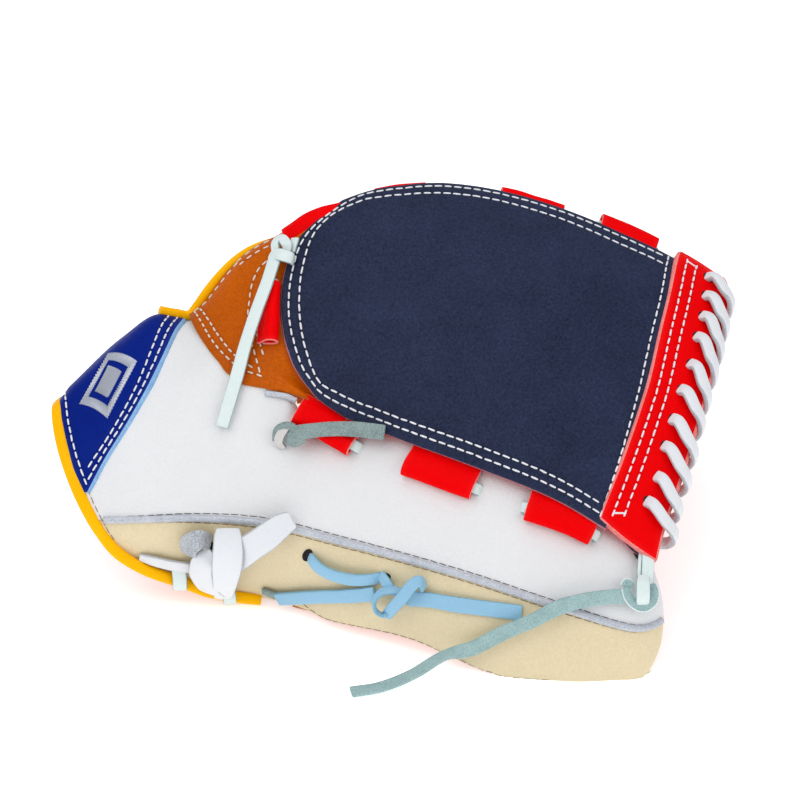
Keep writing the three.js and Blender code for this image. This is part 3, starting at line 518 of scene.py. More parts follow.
def new_object(name, data):
    """An object in the scene from a mesh, a camera or a lamp."""
    made = bpy.data.objects.new(name, data)
    bpy.context.scene.collection.objects.link(made)
    return made


def make_mesh(name, points, faces, materials, indices=None, floats=None, uv=None):
    """An object at the origin from points in glove millimetres; its faces are turned to point outwards."""
    p = np.asarray(points, float)
    f = [tuple(int(v) for v in face) for face in faces]
    volume = 0.0
    for size in (3, 4):
        same = np.array([face for face in f if len(face) == size], int).reshape(-1, size)
        for k in range(1, size - 1):
            a, b, c = (p[same[:, corner]] - p.mean(axis=0) for corner in (0, k, k + 1))
            volume += np.einsum("ij,ij->", a, np.cross(b, c))
    if volume < 0:
        f = [face[::-1] for face in f]
    mesh = bpy.data.meshes.new(name)
    mesh.from_pydata(((p - MIDDLE) / 1000).tolist(), [], f)
    for material in materials:
        mesh.materials.append(bpy.data.materials["glove_" + material])
    if indices is not None:
        mesh.polygons.foreach_set("material_index", np.asarray(indices, np.int32))
    mesh.polygons.foreach_set("use_smooth", np.ones(len(f), bool))
    for key, values in (floats or {}).items():
        mesh.attributes.new(key, "FLOAT", "POINT").data.foreach_set("value", np.asarray(values, np.float32))
    if uv is not None:
        layer = mesh.uv_layers.new(name="UVMap")
        corners = np.array([loop.vertex_index for loop in mesh.loops])
        layer.data.foreach_set("uv", np.asarray(uv, np.float32)[corners].ravel())
    mesh.update()
    return new_object(name, mesh)


def put(obj, slot, *nodes):
    """The piece rides on the glove's one body and stands for its CAD nodes."""
    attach(obj, "root")
    if nodes:
        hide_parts(*nodes)
    return obj


def distance_to(lines, p):
    """How far each point is from the nearest of some dense lines."""
    targets = np.concatenate([np.asarray(line, float) for line in lines])
    tree = KDTree(len(targets))
    for i, point in enumerate(targets):
        tree.insert(point, i)
    tree.balance()
    flat = p.reshape(-1, 3)
    return np.array([tree.find(point)[2] for point in flat]).reshape(p.shape[:-1])


def panel(name, materials, s, t, place, wall=WALL, relief=None, seams=(), groove=0.45, bulge=0.4,
          under_slot=0):
    """A leather panel with rounded cut edges; place(s, t, depth) is a point that deep inside the leather."""
    s, t = np.meshgrid(np.asarray(s, float), np.asarray(t, float), indexing="ij")
    top, under = place(s, t, 0.0), place(s, t, wall)
    ns, nt = s.shape
    face = unit(np.cross(np.gradient(top, axis=0), np.gradient(top, axis=1)))
    if np.mean(np.sum(face * (top - under), axis=-1)) < 0:
        face = -face
    lift = np.zeros(s.shape)
    if relief is not None:
        lift = lift + relief(top, s, t)
    # press marks the seam grooves: it sinks the leather here and paints shade there in the leather shader.
    press = np.zeros(s.shape)
    if len(seams):
        press = np.exp(-((distance_to(seams, top) / SEAM_WIDTH) ** 2))
        lift = lift - groove * press
    top = top + face * lift[..., None]

    def lengths(axis):
        step = np.linalg.norm(np.diff(top, axis=axis), axis=-1)
        pad = np.zeros((1, nt) if axis == 0 else (ns, 1))
        run = np.concatenate([pad, np.cumsum(step, axis=axis)], axis=axis)
        return np.minimum(run, (run[-1:] if axis == 0 else run[:, -1:]) - run)

    rim = np.exp(-((np.minimum(lengths(0), lengths(1)) / WORN_WIDTH) ** 2))
    index = np.arange(ns * nt).reshape(ns, nt)
    loop = np.concatenate([index[:-1, 0], index[-1, :-1], index[:0:-1, -1], index[0, :0:-1]])
    outward = np.zeros((ns, nt, 3))
    outward[0] += unit(top[0] - top[1])
    outward[-1] += unit(top[-1] - top[-2])
    outward[:, 0] += unit(top[:, 0] - top[:, 1])
    outward[:, -1] += unit(top[:, -1] - top[:, -2])
    outward = unit(outward.reshape(-1, 3)[loop])
    high, low = top.reshape(-1, 3)[loop], under.reshape(-1, 3)[loop]
    middle, half = (high + low) / 2, (high - low) / 2
    size = np.linalg.norm(half, axis=1, keepdims=True)
    rows = []
    for turn in (np.pi * 0.2, np.pi * 0.5, np.pi * 0.8):
        rows.append(middle + half * math.cos(turn) + outward * size * bulge * math.sin(turn))
    points = np.vstack([top.reshape(-1, 3), under.reshape(-1, 3), *rows])
    quads = np.stack([index[:-1, :-1], index[1:, :-1], index[1:, 1:], index[:-1, 1:]], axis=-1).reshape(-1, 4)
    count = ns * nt
    faces = [quads, quads[:, ::-1] + count]
    kinds = [np.zeros(len(quads), int), np.full(len(quads), under_slot)]
    rings = [loop, *[2 * count + k * len(loop) + np.arange(len(loop)) for k in range(3)], loop + count]
    for a, b in zip(rings[:-1], rings[1:]):
        faces.append(np.stack([a, b, np.roll(b, -1), np.roll(a, -1)], axis=1))
        kinds.append(np.full(len(loop), len(materials) > 1, int))
    faces = np.vstack(faces)
    kinds = np.concatenate(kinds)
    floats = {
        "rim": np.concatenate([rim.ravel(), rim.ravel(), np.ones(3 * len(loop))]),
        "press": np.concatenate([press.ravel(), np.zeros(count), np.zeros(3 * len(loop))]),
    }
    return make_mesh(name, points, faces, materials, kinds, floats)


def tube(name, materials, line, ups, width, thick, sides, square, uneven=0.0, cut=0.86):
    """A lace, piping or binding along a dense line; its narrow sides and ends take the second material."""
    line, ups = np.asarray(line, float), unit(np.asarray(ups, float))
    ahead = unit(np.gradient(line, axis=0))
    side = unit(np.cross(ahead, ups))
    up = np.cross(side, ahead)
    n = len(line)
    run = np.concatenate([[0], np.cumsum(np.linalg.norm(np.diff(line, axis=0), axis=1))])
    width = np.interp(np.linspace(0, 1, n), np.linspace(0, 1, np.size(width)), np.ravel(width))
    wide = width / 2 * (1 + uneven * lumps(line, 9.0, 3))
    tall = thick / 2 * (1 + uneven * lumps(line, 7.0, 5))
    turn = 2 * np.pi * (np.arange(sides) + 0.5) / sides
    a, b = (np.sign(v) * np.abs(v) ** square for v in (np.cos(turn), np.sin(turn)))
    rings = [(line[i], side[i], up[i], wide[i], tall[i], run[i]) for i in range(n)]
    tips = [(line[i] + ahead[i] * out, side[i], up[i], wide[i] * 0.86, tall[i] * 0.7, run[i])
            for i, out in ((0, -0.25), (-1, 0.25))]
    rings = [tips[0], *rings, tips[1]]
    points = [c + a[:, None] * s * w + b[:, None] * u * h for c, s, u, w, h, _ in rings]
    points = np.array(points).reshape(-1, 3)
    m = len(rings)
    index = np.arange(m * sides).reshape(m, sides)
    after = np.roll(index, -1, axis=1)
    faces = np.stack([index[:-1], after[:-1], after[1:], index[1:]], axis=-1).reshape(-1, 4).tolist()
    second = int(len(materials) > 1)
    mid = np.abs(np.cos(2 * np.pi * (np.arange(sides) + 1) / sides))
    kinds = np.tile((mid > cut).astype(int) * second, m - 1).tolist()
    along_run = np.repeat([ring[5] for ring in rings], sides) / 1000
    uv = np.stack([along_run, np.tile(np.arange(sides) / sides, m)], axis=1)
    for cap in (index[0][::-1], index[-1]):
        points = np.vstack([points, points[cap].mean(axis=0)])
        uv = np.vstack([uv, uv[cap].mean(axis=0)])
        faces += [(i, j, len(points) - 1) for i, j in zip(cap, np.roll(cap, -1))]
        kinds += [second] * sides
    flat = np.zeros(len(points))
    return make_mesh(name, points, faces, materials, kinds, {"rim": flat, "press": flat}, uv)


def join(name, parts):
    """Several new objects as one."""
    with bpy.context.temp_override(active_object=parts[0], selected_editable_objects=parts):
        bpy.ops.object.join()
    parts[0].name = parts[0].data.name = name
    return parts[0]


def dense(rows, lift=0.0, rise=None):
    """A line over the skin from rows of x, u, with points about a millimetre apart; rise adds to its lift."""
    p = np.array(rows, float)
    fine = spline(np.column_stack([p[:, 0], p[:, 1] * LINE_WIDTH, np.zeros(len(p))]), 40 * (len(p) - 1))
    x, u = fine[:, 0], fine[:, 1] / LINE_WIDTH
    place = skin(x, u, lift + (rise(x, u) if rise else 0.0))
    run = np.concatenate([[0], np.cumsum(np.linalg.norm(np.diff(place, axis=0), axis=1))])
    at = np.linspace(0, run[-1], max(int(run[-1]), 2) + 1)
    return np.stack([np.interp(at, run, place[:, k]) for k in range(3)], axis=1)


# Stitching, by geometry nodes


def stitch_tree():
    """Lays a rounded stitch at each step along polylines whose points store the way out of the leather."""
    tree = bpy.data.node_groups.new("Stitch rows", "GeometryNodeTree")
    face = tree.interface
    face.new_socket("Geometry", in_out="INPUT", socket_type="NodeSocketGeometry")
    for label, value in (("Pitch", 0.0045), ("Length", 0.0034), ("Width", 0.0009), ("Height", 0.0008)):
        face.new_socket(label, in_out="INPUT", socket_type="NodeSocketFloat").default_value = value
    face.new_socket("Seed", in_out="INPUT", socket_type="NodeSocketInt").default_value = 7
    face.new_socket("Material", in_out="INPUT", socket_type="NodeSocketMaterial")
    face.new_socket("Geometry", in_out="OUTPUT", socket_type="NodeSocketGeometry")
    start, end = tree.nodes.new("NodeGroupInput"), tree.nodes.new("NodeGroupOutput")
    curve = node(tree, "GeometryNodeMeshToCurve", Mesh=start.outputs["Geometry"])
    spaced = node(tree, "GeometryNodeResampleCurve", {"mode": "LENGTH"}, Curve=curve.outputs["Curve"],
                  Length=start.outputs["Pitch"])
    tangent = node(tree, "GeometryNodeInputTangent").outputs["Tangent"]
    away = node(tree, "GeometryNodeInputNamedAttribute", {"data_type": "FLOAT_VECTOR"}, Name="away")
    first = node(tree, "FunctionNodeAlignRotationToVector", {"axis": "Z"}, Vector=tangent)
    second = node(tree, "FunctionNodeAlignRotationToVector", {"axis": "X", "pivot_axis": "Z"},
                  Rotation=first.outputs[0], Vector=away.outputs["Attribute"])
    vary = node(tree, "FunctionNodeRandomValue", {"data_type": "FLOAT"}, _2=0.9, _3=1.05,
                Seed=start.outputs["Seed"])
    other = node(tree, "FunctionNodeIntegerMath", {"operation": "ADD"}, _0=start.outputs["Seed"], _1=11)
    skew = node(tree, "FunctionNodeRandomValue", {"data_type": "FLOAT"}, _2=-0.07, _3=0.07,
                Seed=other.outputs[0])
    turn = node(tree, "ShaderNodeCombineXYZ", X=skew.outputs[1])
    spin = node(tree, "FunctionNodeEulerToRotation", _0=turn.outputs[0])
    third = node(tree, "FunctionNodeRotateRotation", {"rotation_space": "LOCAL"}, _0=second.outputs[0],
                 _1=spin.outputs[0])
    ball = node(tree, "GeometryNodeMeshUVSphere", Segments=8, Rings=6, Radius=0.5)
    place = node(tree, "ShaderNodeSeparateXYZ", _0=node(tree, "GeometryNodeInputPosition").outputs[0])
    along_stitch = maths(tree, "ABSOLUTE", maths(tree, "MULTIPLY", place.outputs[2], 2.0))
    blunt = maths(tree, "MULTIPLY", maths(tree, "POWER", along_stitch, 0.45), 0.5)
    blunt = maths(tree, "MULTIPLY", maths(tree, "SIGN", place.outputs[2]), blunt)
    moved = node(tree, "ShaderNodeCombineXYZ", X=place.outputs[0], Y=place.outputs[1], Z=blunt)
    thread = node(tree, "GeometryNodeSetPosition", Geometry=ball.outputs["Mesh"], Position=moved.outputs[0])
    length = maths(tree, "MULTIPLY", start.outputs["Length"], vary.outputs[1])
    scale = node(tree, "ShaderNodeCombineXYZ", X=start.outputs["Height"], Y=start.outputs["Width"], Z=length)
    placed = node(tree, "GeometryNodeInstanceOnPoints", Points=spaced.outputs["Curve"],
                  Instance=thread.outputs["Geometry"], Rotation=third.outputs[0], Scale=scale.outputs[0])
    real = node(tree, "GeometryNodeRealizeInstances", Geometry=placed.outputs["Instances"])
    soft = node(tree, "GeometryNodeSetShadeSmooth", Geometry=real.outputs["Geometry"])
    named = node(tree, "GeometryNodeSetMaterial", Geometry=soft.outputs["Geometry"],
                 Material=start.outputs["Material"])
    tree.links.new(named.outputs["Geometry"], end.inputs["Geometry"])
    return tree


def stitch(name, slot, leather, lines, sizes, material="white_thread", rise=0.12, **values):
    """Rows of stitches on a made panel, seated on its surface."""
    tree = bpy.data.node_groups.get("Stitch rows") or stitch_tree()
    surface = BVHTree.FromObject(bpy.data.objects[leather], bpy.context.evaluated_depsgraph_get())
    points, edges, away = [], [], []
    for line in lines:
        start = len(points)
        for p in (np.asarray(line) - MIDDLE) / 1000:
            place, direction, _, _ = surface.find_nearest(Vector(p))
            points.append(place + direction * rise / 1000)
            away.append(direction)
        edges += [(i, i + 1) for i in range(start, len(points) - 1)]
    mesh = bpy.data.meshes.new(name)
    mesh.from_pydata(points, edges, [])
    layer = mesh.attributes.new("away", "FLOAT_VECTOR", "POINT")
    layer.data.foreach_set("vector", np.array(away, np.float32).ravel())
    obj = new_object(name, mesh)
    values = {
        "Pitch": sizes.stitch_pitch,
        "Length": sizes.stitch_length,
        "Width": sizes.stitch_width,
        "Height": sizes.stitch_width * 0.9,
        "Seed": sizes.seed,
        "Material": bpy.data.materials["glove_" + material],
        **values,
    }
    modifier = obj.modifiers.new("Stitches", "NODES")
    modifier.node_group = tree
    for item in tree.interface.items_tree:
        if item.in_out == "INPUT" and item.name in values:
            modifier[item.identifier] = values[item.name]
    graph = bpy.context.evaluated_depsgraph_get()
    made = bpy.data.meshes.new_from_object(obj.evaluated_get(graph), preserve_all_data_layers=True,
                                           depsgraph=graph)
    obj.modifiers.clear()
    obj.data = made
    return put(obj, slot)


# Pieces


def from_wrist(x, u, reach):
    """x moved so that the first row follows the wrist's edge, and none is moved beyond reach."""
    return x + (edge(WRIST_EDGE, u) - (FIRST_ROW - EDGE_INSET)) * (1 - ease(FIRST_ROW, reach, x))


def white_place(x, t, depth):
    """The thumb's inner panel, flat at the wrist and arched from the thumb's root to its tip."""
    arch = stall_back("thumb", x, mix(0.014, 1, bow(t)), depth)
    u = mix(1.015, np.maximum(edge(WHITE_EDGE, x) - 0.015, 1.3), t)
    return mix(skin(from_wrist(x, u, 60), u, -depth), arch, ease(103, 126, x)[..., None])


def tan_place(x, t, depth):
    """The thumb's outer panel, whose lower edge settles on the floor."""
    arch = stall_back("thumb", x, -mix(0.014, 1, bow(t)), depth)
    u = mix(0.995, 0.06, t)
    leather = mix(skin(from_wrist(x, u, 95), u, -depth), arch, ease(95, 123, x)[..., None])
    return on_floor(leather, WALL if depth else 0.0, 0.25)


def stations(start, stall, n, turns, length=None):
    """Rows along a stall from start to its tip, closer where the tip turns over its length."""
    _, _, tip, rounding, _, _ = STALLS[stall]
    foot = tip - rounding
    length = rounding if length is None else length
    return np.concatenate([np.linspace(start, foot, n),
                           foot + length * np.sin(np.linspace(0, 1, turns)[1:] * np.pi / 2)])


def welt_line(x, lift, across=0.0):
    """The line of the thumb's piping, or one beside it."""
    arch = stall_back("thumb", x, across, -lift)
    flat = skin(x + 7 * (1 - ease(FIRST_ROW, 60, x)), 1.005 + 1.12 * across, lift)
    return on_floor(mix(flat, arch, ease(95, 123, x)[..., None]), 0.6)


def edge_row(table, inset, u0, u1):
    """Rows of x, u that run beside an edge given as x over u."""
    u = np.linspace(u0, u1, 60)
    return np.column_stack([edge(table, u) + inset, u])


def web_outline(inset):
    """The stitch line that runs inset inside the navy web's left, top and lower edges."""

    def at_u(u, x):
        """Millimetres to a line there."""
        return float(np.linalg.norm(on(OUTER, x, u + 0.05) - on(OUTER, x, u - 0.05))) / 0.1

    rows = []
    low = 2.0 + inset / at_u(2.0, 180.0)
    high = WEB_TOP - inset / at_u(4.0, 180.0)
    for x in np.linspace(241, 134, 14):
        rows.append((x, low))
    for u in (2.1, 2.18, 2.3, 2.5, 2.75, 3.0, 3.25, 3.45, 3.6, 3.72, 3.82):
        rows.append((float(edge(WEB_LEFT, u)) + inset * 1.05, min(max(u, low + 0.03), high - 0.03)))
    for x in np.linspace(136, 272, 14):
        rows.append((x, high))
    return rows


def web_place(s, t, depth, lift, inset, overlap=0.0):
    """A layer of the web, from its left edge to the crossbar as s goes from 0 to 1."""
    u = mix(2 - overlap + inset * 0.02, WEB_TOP - inset * 0.02, t)
    held = np.maximum(u + overlap * (1 - ease(2, 3, u)), 2.0)
    left = edge(WEB_LEFT, held) + inset
    foot = 1.2 * (1 - ease(2, 2.3, u)) - 1.5 * ease(3.6, WEB_TOP, u)
    return skin(mix(left, edge(WEB_RIGHT, held) - 0.4 - inset * 0.2, s), u, lift + foot - depth)


def cross_low(u):
    """1 at the crossbar's foot, where it lifts off the thumb, and 0 above it."""
    return 1 - ease(CROSS_FOOT, 2.37, u)


def cross_lean(u):
    """How far the crossbar leans back over the web, more towards its foot."""
    return 3 * (1 - ease(CROSS_FOOT, 3.3, u))


def cross_place(s, t, lift):
    """A point of the crossbar, from the web to its free edge as s goes from 0 to 1."""
    u = mix(CROSS_FOOT, CROSS_TOP, t)
    low = cross_low(u)
    left = edge(WEB_RIGHT, u) + np.where(lift < 0, 1.8, 0.3)
    right = edge(CROSS_RIGHT, u - 0.12 * low) - 0.2
    x = mix(left, right, s) - cross_lean(u)
    return skin(x, u - 0.12 * low * s, lift + low * np.where(lift < 0, 4.2, 1.6))


def cos_steps(n):
    """n values from 0 to 1, closer together towards both."""
    return (1 - np.cos(np.linspace(0, 1, n) * np.pi)) / 2


# The laces' free tails: name, leather, edge leather, slot, width, thickness, lay, rows of x, u, lift, and
# points beyond the skin.
TAILS = (
    ("top", "mint_lace", "mint_suede", "mint_lace", 6, 2, "hanging",
     ((100.4, 3.54, 6.2), (97.2, 3.28, 8.6), (92.4, 2.95, 8.6), (87, 2.6, 5.6), (82, 2.2, 3.6),
      (75.3, 1.76, 3.6)), ()),
    ("low", "grey_suede", "grey_suede", "grey_lace", 6.8, 2, "loose",
     ((106.8, 1.68, 5.4), (112, 1.72, 7.2), (124, 1.82, 7), (136, 1.9, 6.6), (149.3, 1.97, 5.6)), ()),
    ("tip", "mint_suede", "mint_suede", "mint_lace", 6.6, 2, "hanging",
     ((256, 1.42, 3.8), (245.3, 1.3, 4.4), (227.4, 1.05, 5.6), (213.4, 0.8, 7.2), (200.9, 0.57, 5.4),
      (188, 0.28, 4)),
     ((174.6, 8.2, 11), (160, 1.5, 5.4), (146, -3, 1.9), (133, -6, 1.4))),
    ("thumb_left", "sky_lace", "sky_suede", "sky_lace", 6.8, 2, "loose",
     ((144.4, 0.54, 3), (133, 0.42, 1.8), (116, 0.26, 1.4), (100.4, 0.12, 2.2)), ()),
    ("thumb_right", "sky_lace", "sky_suede", "sky_lace", 7, 2, "loose",
     ((158.6, 0.59, 3), (168, 0.64, 2), (178.7, 0.68, 1.4), (194, 0.75, 1.1), (208.5, 0.82, 1.1)), ()),
)


def tail_route(rows, loose):
    """Points and outward directions of a tail over the skin and beyond it."""
    place, away = over(rows)
    if loose:
        place = np.vstack([place, np.array(loose, float)])
        away = np.vstack([away, np.tile([0.0, 0.0, 1.0], (len(loose), 1))])
    return place, away


# Sizes, colours and operators


def colour_property(label, text, value):
    """A colour that a user can change, from 0 to 255 display values."""
    return FloatVectorProperty(name=label, description=text, subtype="COLOR", size=3, min=0, max=1,
                               default=rgb(*value)[:3])


class GloveSizes(bpy.types.PropertyGroup):
    """Sizes and colours of the glove's dressing."""

    stitch_pitch: FloatProperty(name="Stitch Pitch", description="From one stitch to the next",
                                default=0.0044, unit="LENGTH")
    stitch_length: FloatProperty(name="Stitch Length", description="Length of the thread that shows",
                                 default=0.0036, unit="LENGTH")
    stitch_width: FloatProperty(name="Stitch Width", description="Thickness of the thread",
                                default=0.00095, unit="LENGTH")
    wrinkle: FloatProperty(name="Wrinkle Depth",
                           description="How deep the leather's soft dents are, in millimetres", default=0.7)
    seed: IntProperty(name="Seed", description="Seed of the small irregularities", default=7)
    navy: colour_property("Web", "Colour of the web's outer leather", (37, 44, 68))
    red: colour_property("Crossbar", "Colour of the crossbar, the loops and the web's inside", (232, 0, 4))
    white: colour_property("Thumb Inner", "Colour of the thumb's inner panel", (223, 223, 224))
    tan: colour_property("Thumb Outer", "Colour of the thumb's outer panel", (219, 203, 167))
    rust: colour_property("Palm", "Colour of the palm and the web base", (188, 86, 0))
    blue: colour_property("Strap", "Colour of the wrist strap", (2, 30, 122))
    gold: colour_property("Binding", "Colour of the bindings", (252, 182, 0))


class GLOVE_OT_finishes(bpy.types.Operator):
    """Leathers, laces and threads"""

    bl_idname = "glove.finishes"
    bl_label = "Finishes"

    def execute(self, context):
        make_materials(context.scene.glove)
        return {"FINISHED"}


class GLOVE_OT_camera(bpy.types.Operator):
    """Camera at the photograph's angle"""

    bl_idname = "glove.camera"
    bl_label = "Camera"

    def execute(self, context):
        data = bpy.data.cameras.new("camera")
        data.lens = 300
        data.sensor_width = 36
        data.clip_end = 50
        camera = new_object("camera", data)
        rise = math.radians(35)
        back = Vector((0, -math.cos(rise), math.sin(rise)))
        target = Vector((0.0021, 0, 0.0661))
        view_width = 0.3636
        camera.location = target + back * (view_width * data.lens / data.sensor_width)
        camera.rotation_euler = (-back).to_track_quat("-Z", "Y").to_euler()
        context.scene.camera = camera
        return {"FINISHED"}


class GLOVE_OT_tails(bpy.types.Operator):
    """Free ends of the laces"""

    bl_idname = "glove.tails"
    bl_label = "Lace Ends"

    def execute(self, context):
        for name, main, side, slot, width, thick, lay, rows, loose in TAILS:
            place, away = tail_route(rows, loose)
            line, ups = spline(place, 70), spline(away, 70)
            piece = tube("tail_" + name + "_lace", [main, side], line, ups, width, thick, 20, 0.55,
                         uneven=0.05)
            put(piece, slot, "tail_" + name)
            path = (line - MIDDLE) / 1000
            tuple(path[0])
        return {"FINISHED"}


class GLOVE_OT_thumb(bpy.types.Operator):
    """Thumb: white inner panel, tan outer panel and the piping between them"""

    bl_idname = "glove.thumb"
    bl_label = "Thumb"

    def execute(self, context):
        depth = context.scene.glove.wrinkle

        def creases(p, x, t):
            soft = lumps(p, (34, 26, 26), 11) * 0.9 + lumps(p, (15, 10, 12), 12) * 0.4
            puckers = lumps(p, (4.5, 40, 40), 13) * bump(0, 0.12, t) * 0.5
            return depth * (soft * ease(0, 0.15, t) + puckers) * ease(270, 250, x)

        white = panel("thumb_inner_leather", ["white_leather", "white_suede"],
                      stations(FIRST_ROW, "thumb", 170, 16), np.linspace(0, 1, 60), white_place,
                      relief=creases)
        put(white, "white_leather", "thumb_inner")

        def folds(p, x, t):
            soft = lumps(p, (26, 20, 20), 21) * 0.8 + lumps(p, (9, 14, 14), 22) * 0.3
            return depth * soft * ease(0, 0.12, t) * (1 - ease(0.7, 0.95, t)) * ease(270, 250, x)

        tan = panel("thumb_outer_leather", ["tan_leather", "tan_edge"], stations(FIRST_ROW, "thumb", 150, 16),
                    np.linspace(0, 1, 44), tan_place, relief=folds)
        put(tan, "tan_leather", "thumb_outer")
        x = stations(FIRST_ROW, "thumb", 190, 16, 13.5)
        welt = tube("thumb_welt_piping", ["silver_welt"], welt_line(x, 0.35), normal(x, 1.0), 3.3, 2.9, 14,
                    0.95, uneven=0.05)
        put(welt, "silver_welt", "thumb_welt")
        x = np.linspace(24, 266, 240)
        above, below = welt_line(x, 0, 0.046), welt_line(x, 0, -0.046)
        foot = tan_place(np.linspace(112, 262, 160), np.full(160, 0.8), 0.0)
        heel = [[(float(edge(WRIST_EDGE, u)) + 3.4, u) for u in np.linspace(first, last, 12)]
                for first, last in ((1.5, 1.05), (0.95, 0.3))]
        thin = {"Length": 0.0038, "Pitch": 0.0042, "Width": 0.00042, "Height": 0.0003}
        for name, slot, leather, rows, thread, rise in (
            ("welt_seam_upper", "white_leather", white, [above], "seam_dark", 0.05),
            ("welt_seam_lower", "tan_leather", tan, [below, foot], "seam_thread", 0.1),
            ("heel_seam_upper", "white_leather", white, [dense(heel[0])], "seam_thread", 0.1),
            ("heel_seam_lower", "tan_leather", tan, [dense(heel[1])], "seam_thread", 0.1),
        ):
            stitch(name, slot, leather.name, rows, context.scene.glove, thread, rise, **thin)
        return {"FINISHED"}


class GLOVE_OT_palm(bpy.types.Operator):
    """Palm leather of the hand, the thumb and the fingers"""

    bl_idname = "glove.palm"
    bl_label = "Palm"

    def execute(self, context):
        def place(s, t, depth):
            u = mix(0.1, 7.9, t)
            x = mix(41, 105.6, s)
            rise = ease(76, 105, x) * ease(1.95, 2.5, u) * (1 - ease(3.75, 4.25, u)) * 0.88
            low, high = on(PALM, x, u), on(OUTER, x, u)
            away = unit(low - high)
            leather = mix(low, high, rise[..., None]) + away * (PALM_GAP + depth)
            return on_floor(leather, 0.0 if depth else WALL)

        palm = panel("palm_leather", ["rust_leather", "rust_edge"], np.linspace(0, 1, 40),
                     np.linspace(0, 1, 110), place)
        put(palm, "rust_leather", "palm")
        for name in STALLS:
            inward = 1.5 if name == "thumb" else 0.0

            def side(x, t, depth, name=name, inward=inward):
                p = stall_place(name, x, mix(-1, 1, t), 0.0, depth, True)
                return on_floor(p, 0.0 if depth else WALL, inward)

            piece = panel(name + "_palm_leather", ["rust_leather", "rust_edge"],
                          stations(FINGER_START, name, 60, 14), np.linspace(0, 1, 22), side)
            put(piece, "rust_leather", name + "_palm")
        return {"FINISHED"}


class GLOVE_OT_fingers(bpy.types.Operator):
    """Backs of the four fingers with the piping down their middles"""

    bl_idname = "glove.fingers"
    bl_label = "Fingers"

    def execute(self, context):
        depth = context.scene.glove.wrinkle
        hem = 3.4
        for name, main, side, seed in (("index", "rust_leather", "rust_edge", 31),
                                       ("middle", "tan_leather", "tan_edge", 33),
                                       ("ring", "white_leather", "white_suede", 35),
                                       ("little", "tan_leather", "tan_edge", 37)):
            lowest = 0.0 if name == "little" else hem

            def back(x, t, d, name=name, lowest=lowest):
                return on_floor(stall_back(name, x, bow(2 * t - 1), d), WALL + hem if d else lowest)

            def soft(p, x, t, seed=seed, name=name):
                tip = STALLS[name][2]
                wave = lumps(p, (24, 18, 18), seed) * 0.7 + lumps(p, (7, 16, 16), seed + 1) * 0.35
                return depth * wave * ease(tip - 2, tip - 20, x) * ease(0, 0.1, t) * ease(1, 0.9, t)

            x = stations(FINGER_START, name, 90, 14)
            middle = back(x, np.full(len(x), 0.5), 0.0)
            leather = panel(name + "_back_leather", [main, side], x, np.linspace(0, 1, 44), back, relief=soft,
                            seams=[middle], groove=0.8)
            put(leather, main, name + "_back")
            out = unit(middle - on(PALM, x, np.full(len(x), sum(STALLS[name][:2]) / 2)))
            piping = tube(name + "_piping", ["silver_welt"], middle + out * 0.1, out, 2.8, 2.6, 12, 0.95)
            put(piping, "silver_welt")
        return {"FINISHED"}


class GLOVE_OT_hand(bpy.types.Operator):
    """Side of the hand and the wrist strap"""

    bl_idname = "glove.hand"
    bl_label = "Hand and Strap"

    def execute(self, context):
        depth = context.scene.glove.wrinkle

        def side(s, t, d):
            u = mix(7.36, 8, t)
            p = skin(mix(edge(WRIST_EDGE, u) + 3.4, 103.4, s), u, -d)
            return on_floor(p, WALL if d else 0.3)

        piece = panel("hand_side_leather", ["tan_leather", "tan_edge"], np.linspace(0, 1, 60),
                      np.linspace(0, 1, 22), side, relief=lambda p, s, t: depth * lumps(p, 22, 41) * 0.6)
        put(piece, "tan_leather", "hand_side")

        def strap(s, t, d):
            u = mix(1.5, 7.3, t)
            left = edge(WRIST_EDGE, u) + 0.8
            right = np.maximum(edge(STRAP_EDGE, u) - 0.6 + (1.9 if d else 0), left + 0.8)
            return skin(mix(left, right, s), u, 1.5 - d - 1.1 * (1 - ease(0, 5, (right - left) * s)))

        rows = strap_rows()
        piece = panel("strap_leather", ["blue_leather", "blue_edge"], np.linspace(0, 1, 44),
                      np.linspace(0, 1, 150), strap, wall=2.6,
                      relief=lambda p, s, t: depth * lumps(p, 26, 43) * 0.4, seams=rows)
        put(piece, "blue_leather", "strap")
        stitch("strap_stitches", "silver_thread", "strap_leather", rows, context.scene.glove)
        return {"FINISHED"}


def strap_rows():
    """The strap's stitch lines: two beside the web base and one beside the wrist's binding."""
    return [
        dense(edge_row(STRAP_EDGE, -3.4, 1.72, 7.1), 1.5),
        dense(edge_row(STRAP_EDGE, -7.2, 1.9, 7.1), 1.5),
        dense(edge_row(WRIST_EDGE, 3.6, 1.66, 7.1), 1.2),
    ]


def opening_rise(x, u):
    """How far the edge of the hand opening stands above the plain skin."""
    return 5.4 * bump(78, 28, x) * ease(3.3, 4.1, u)


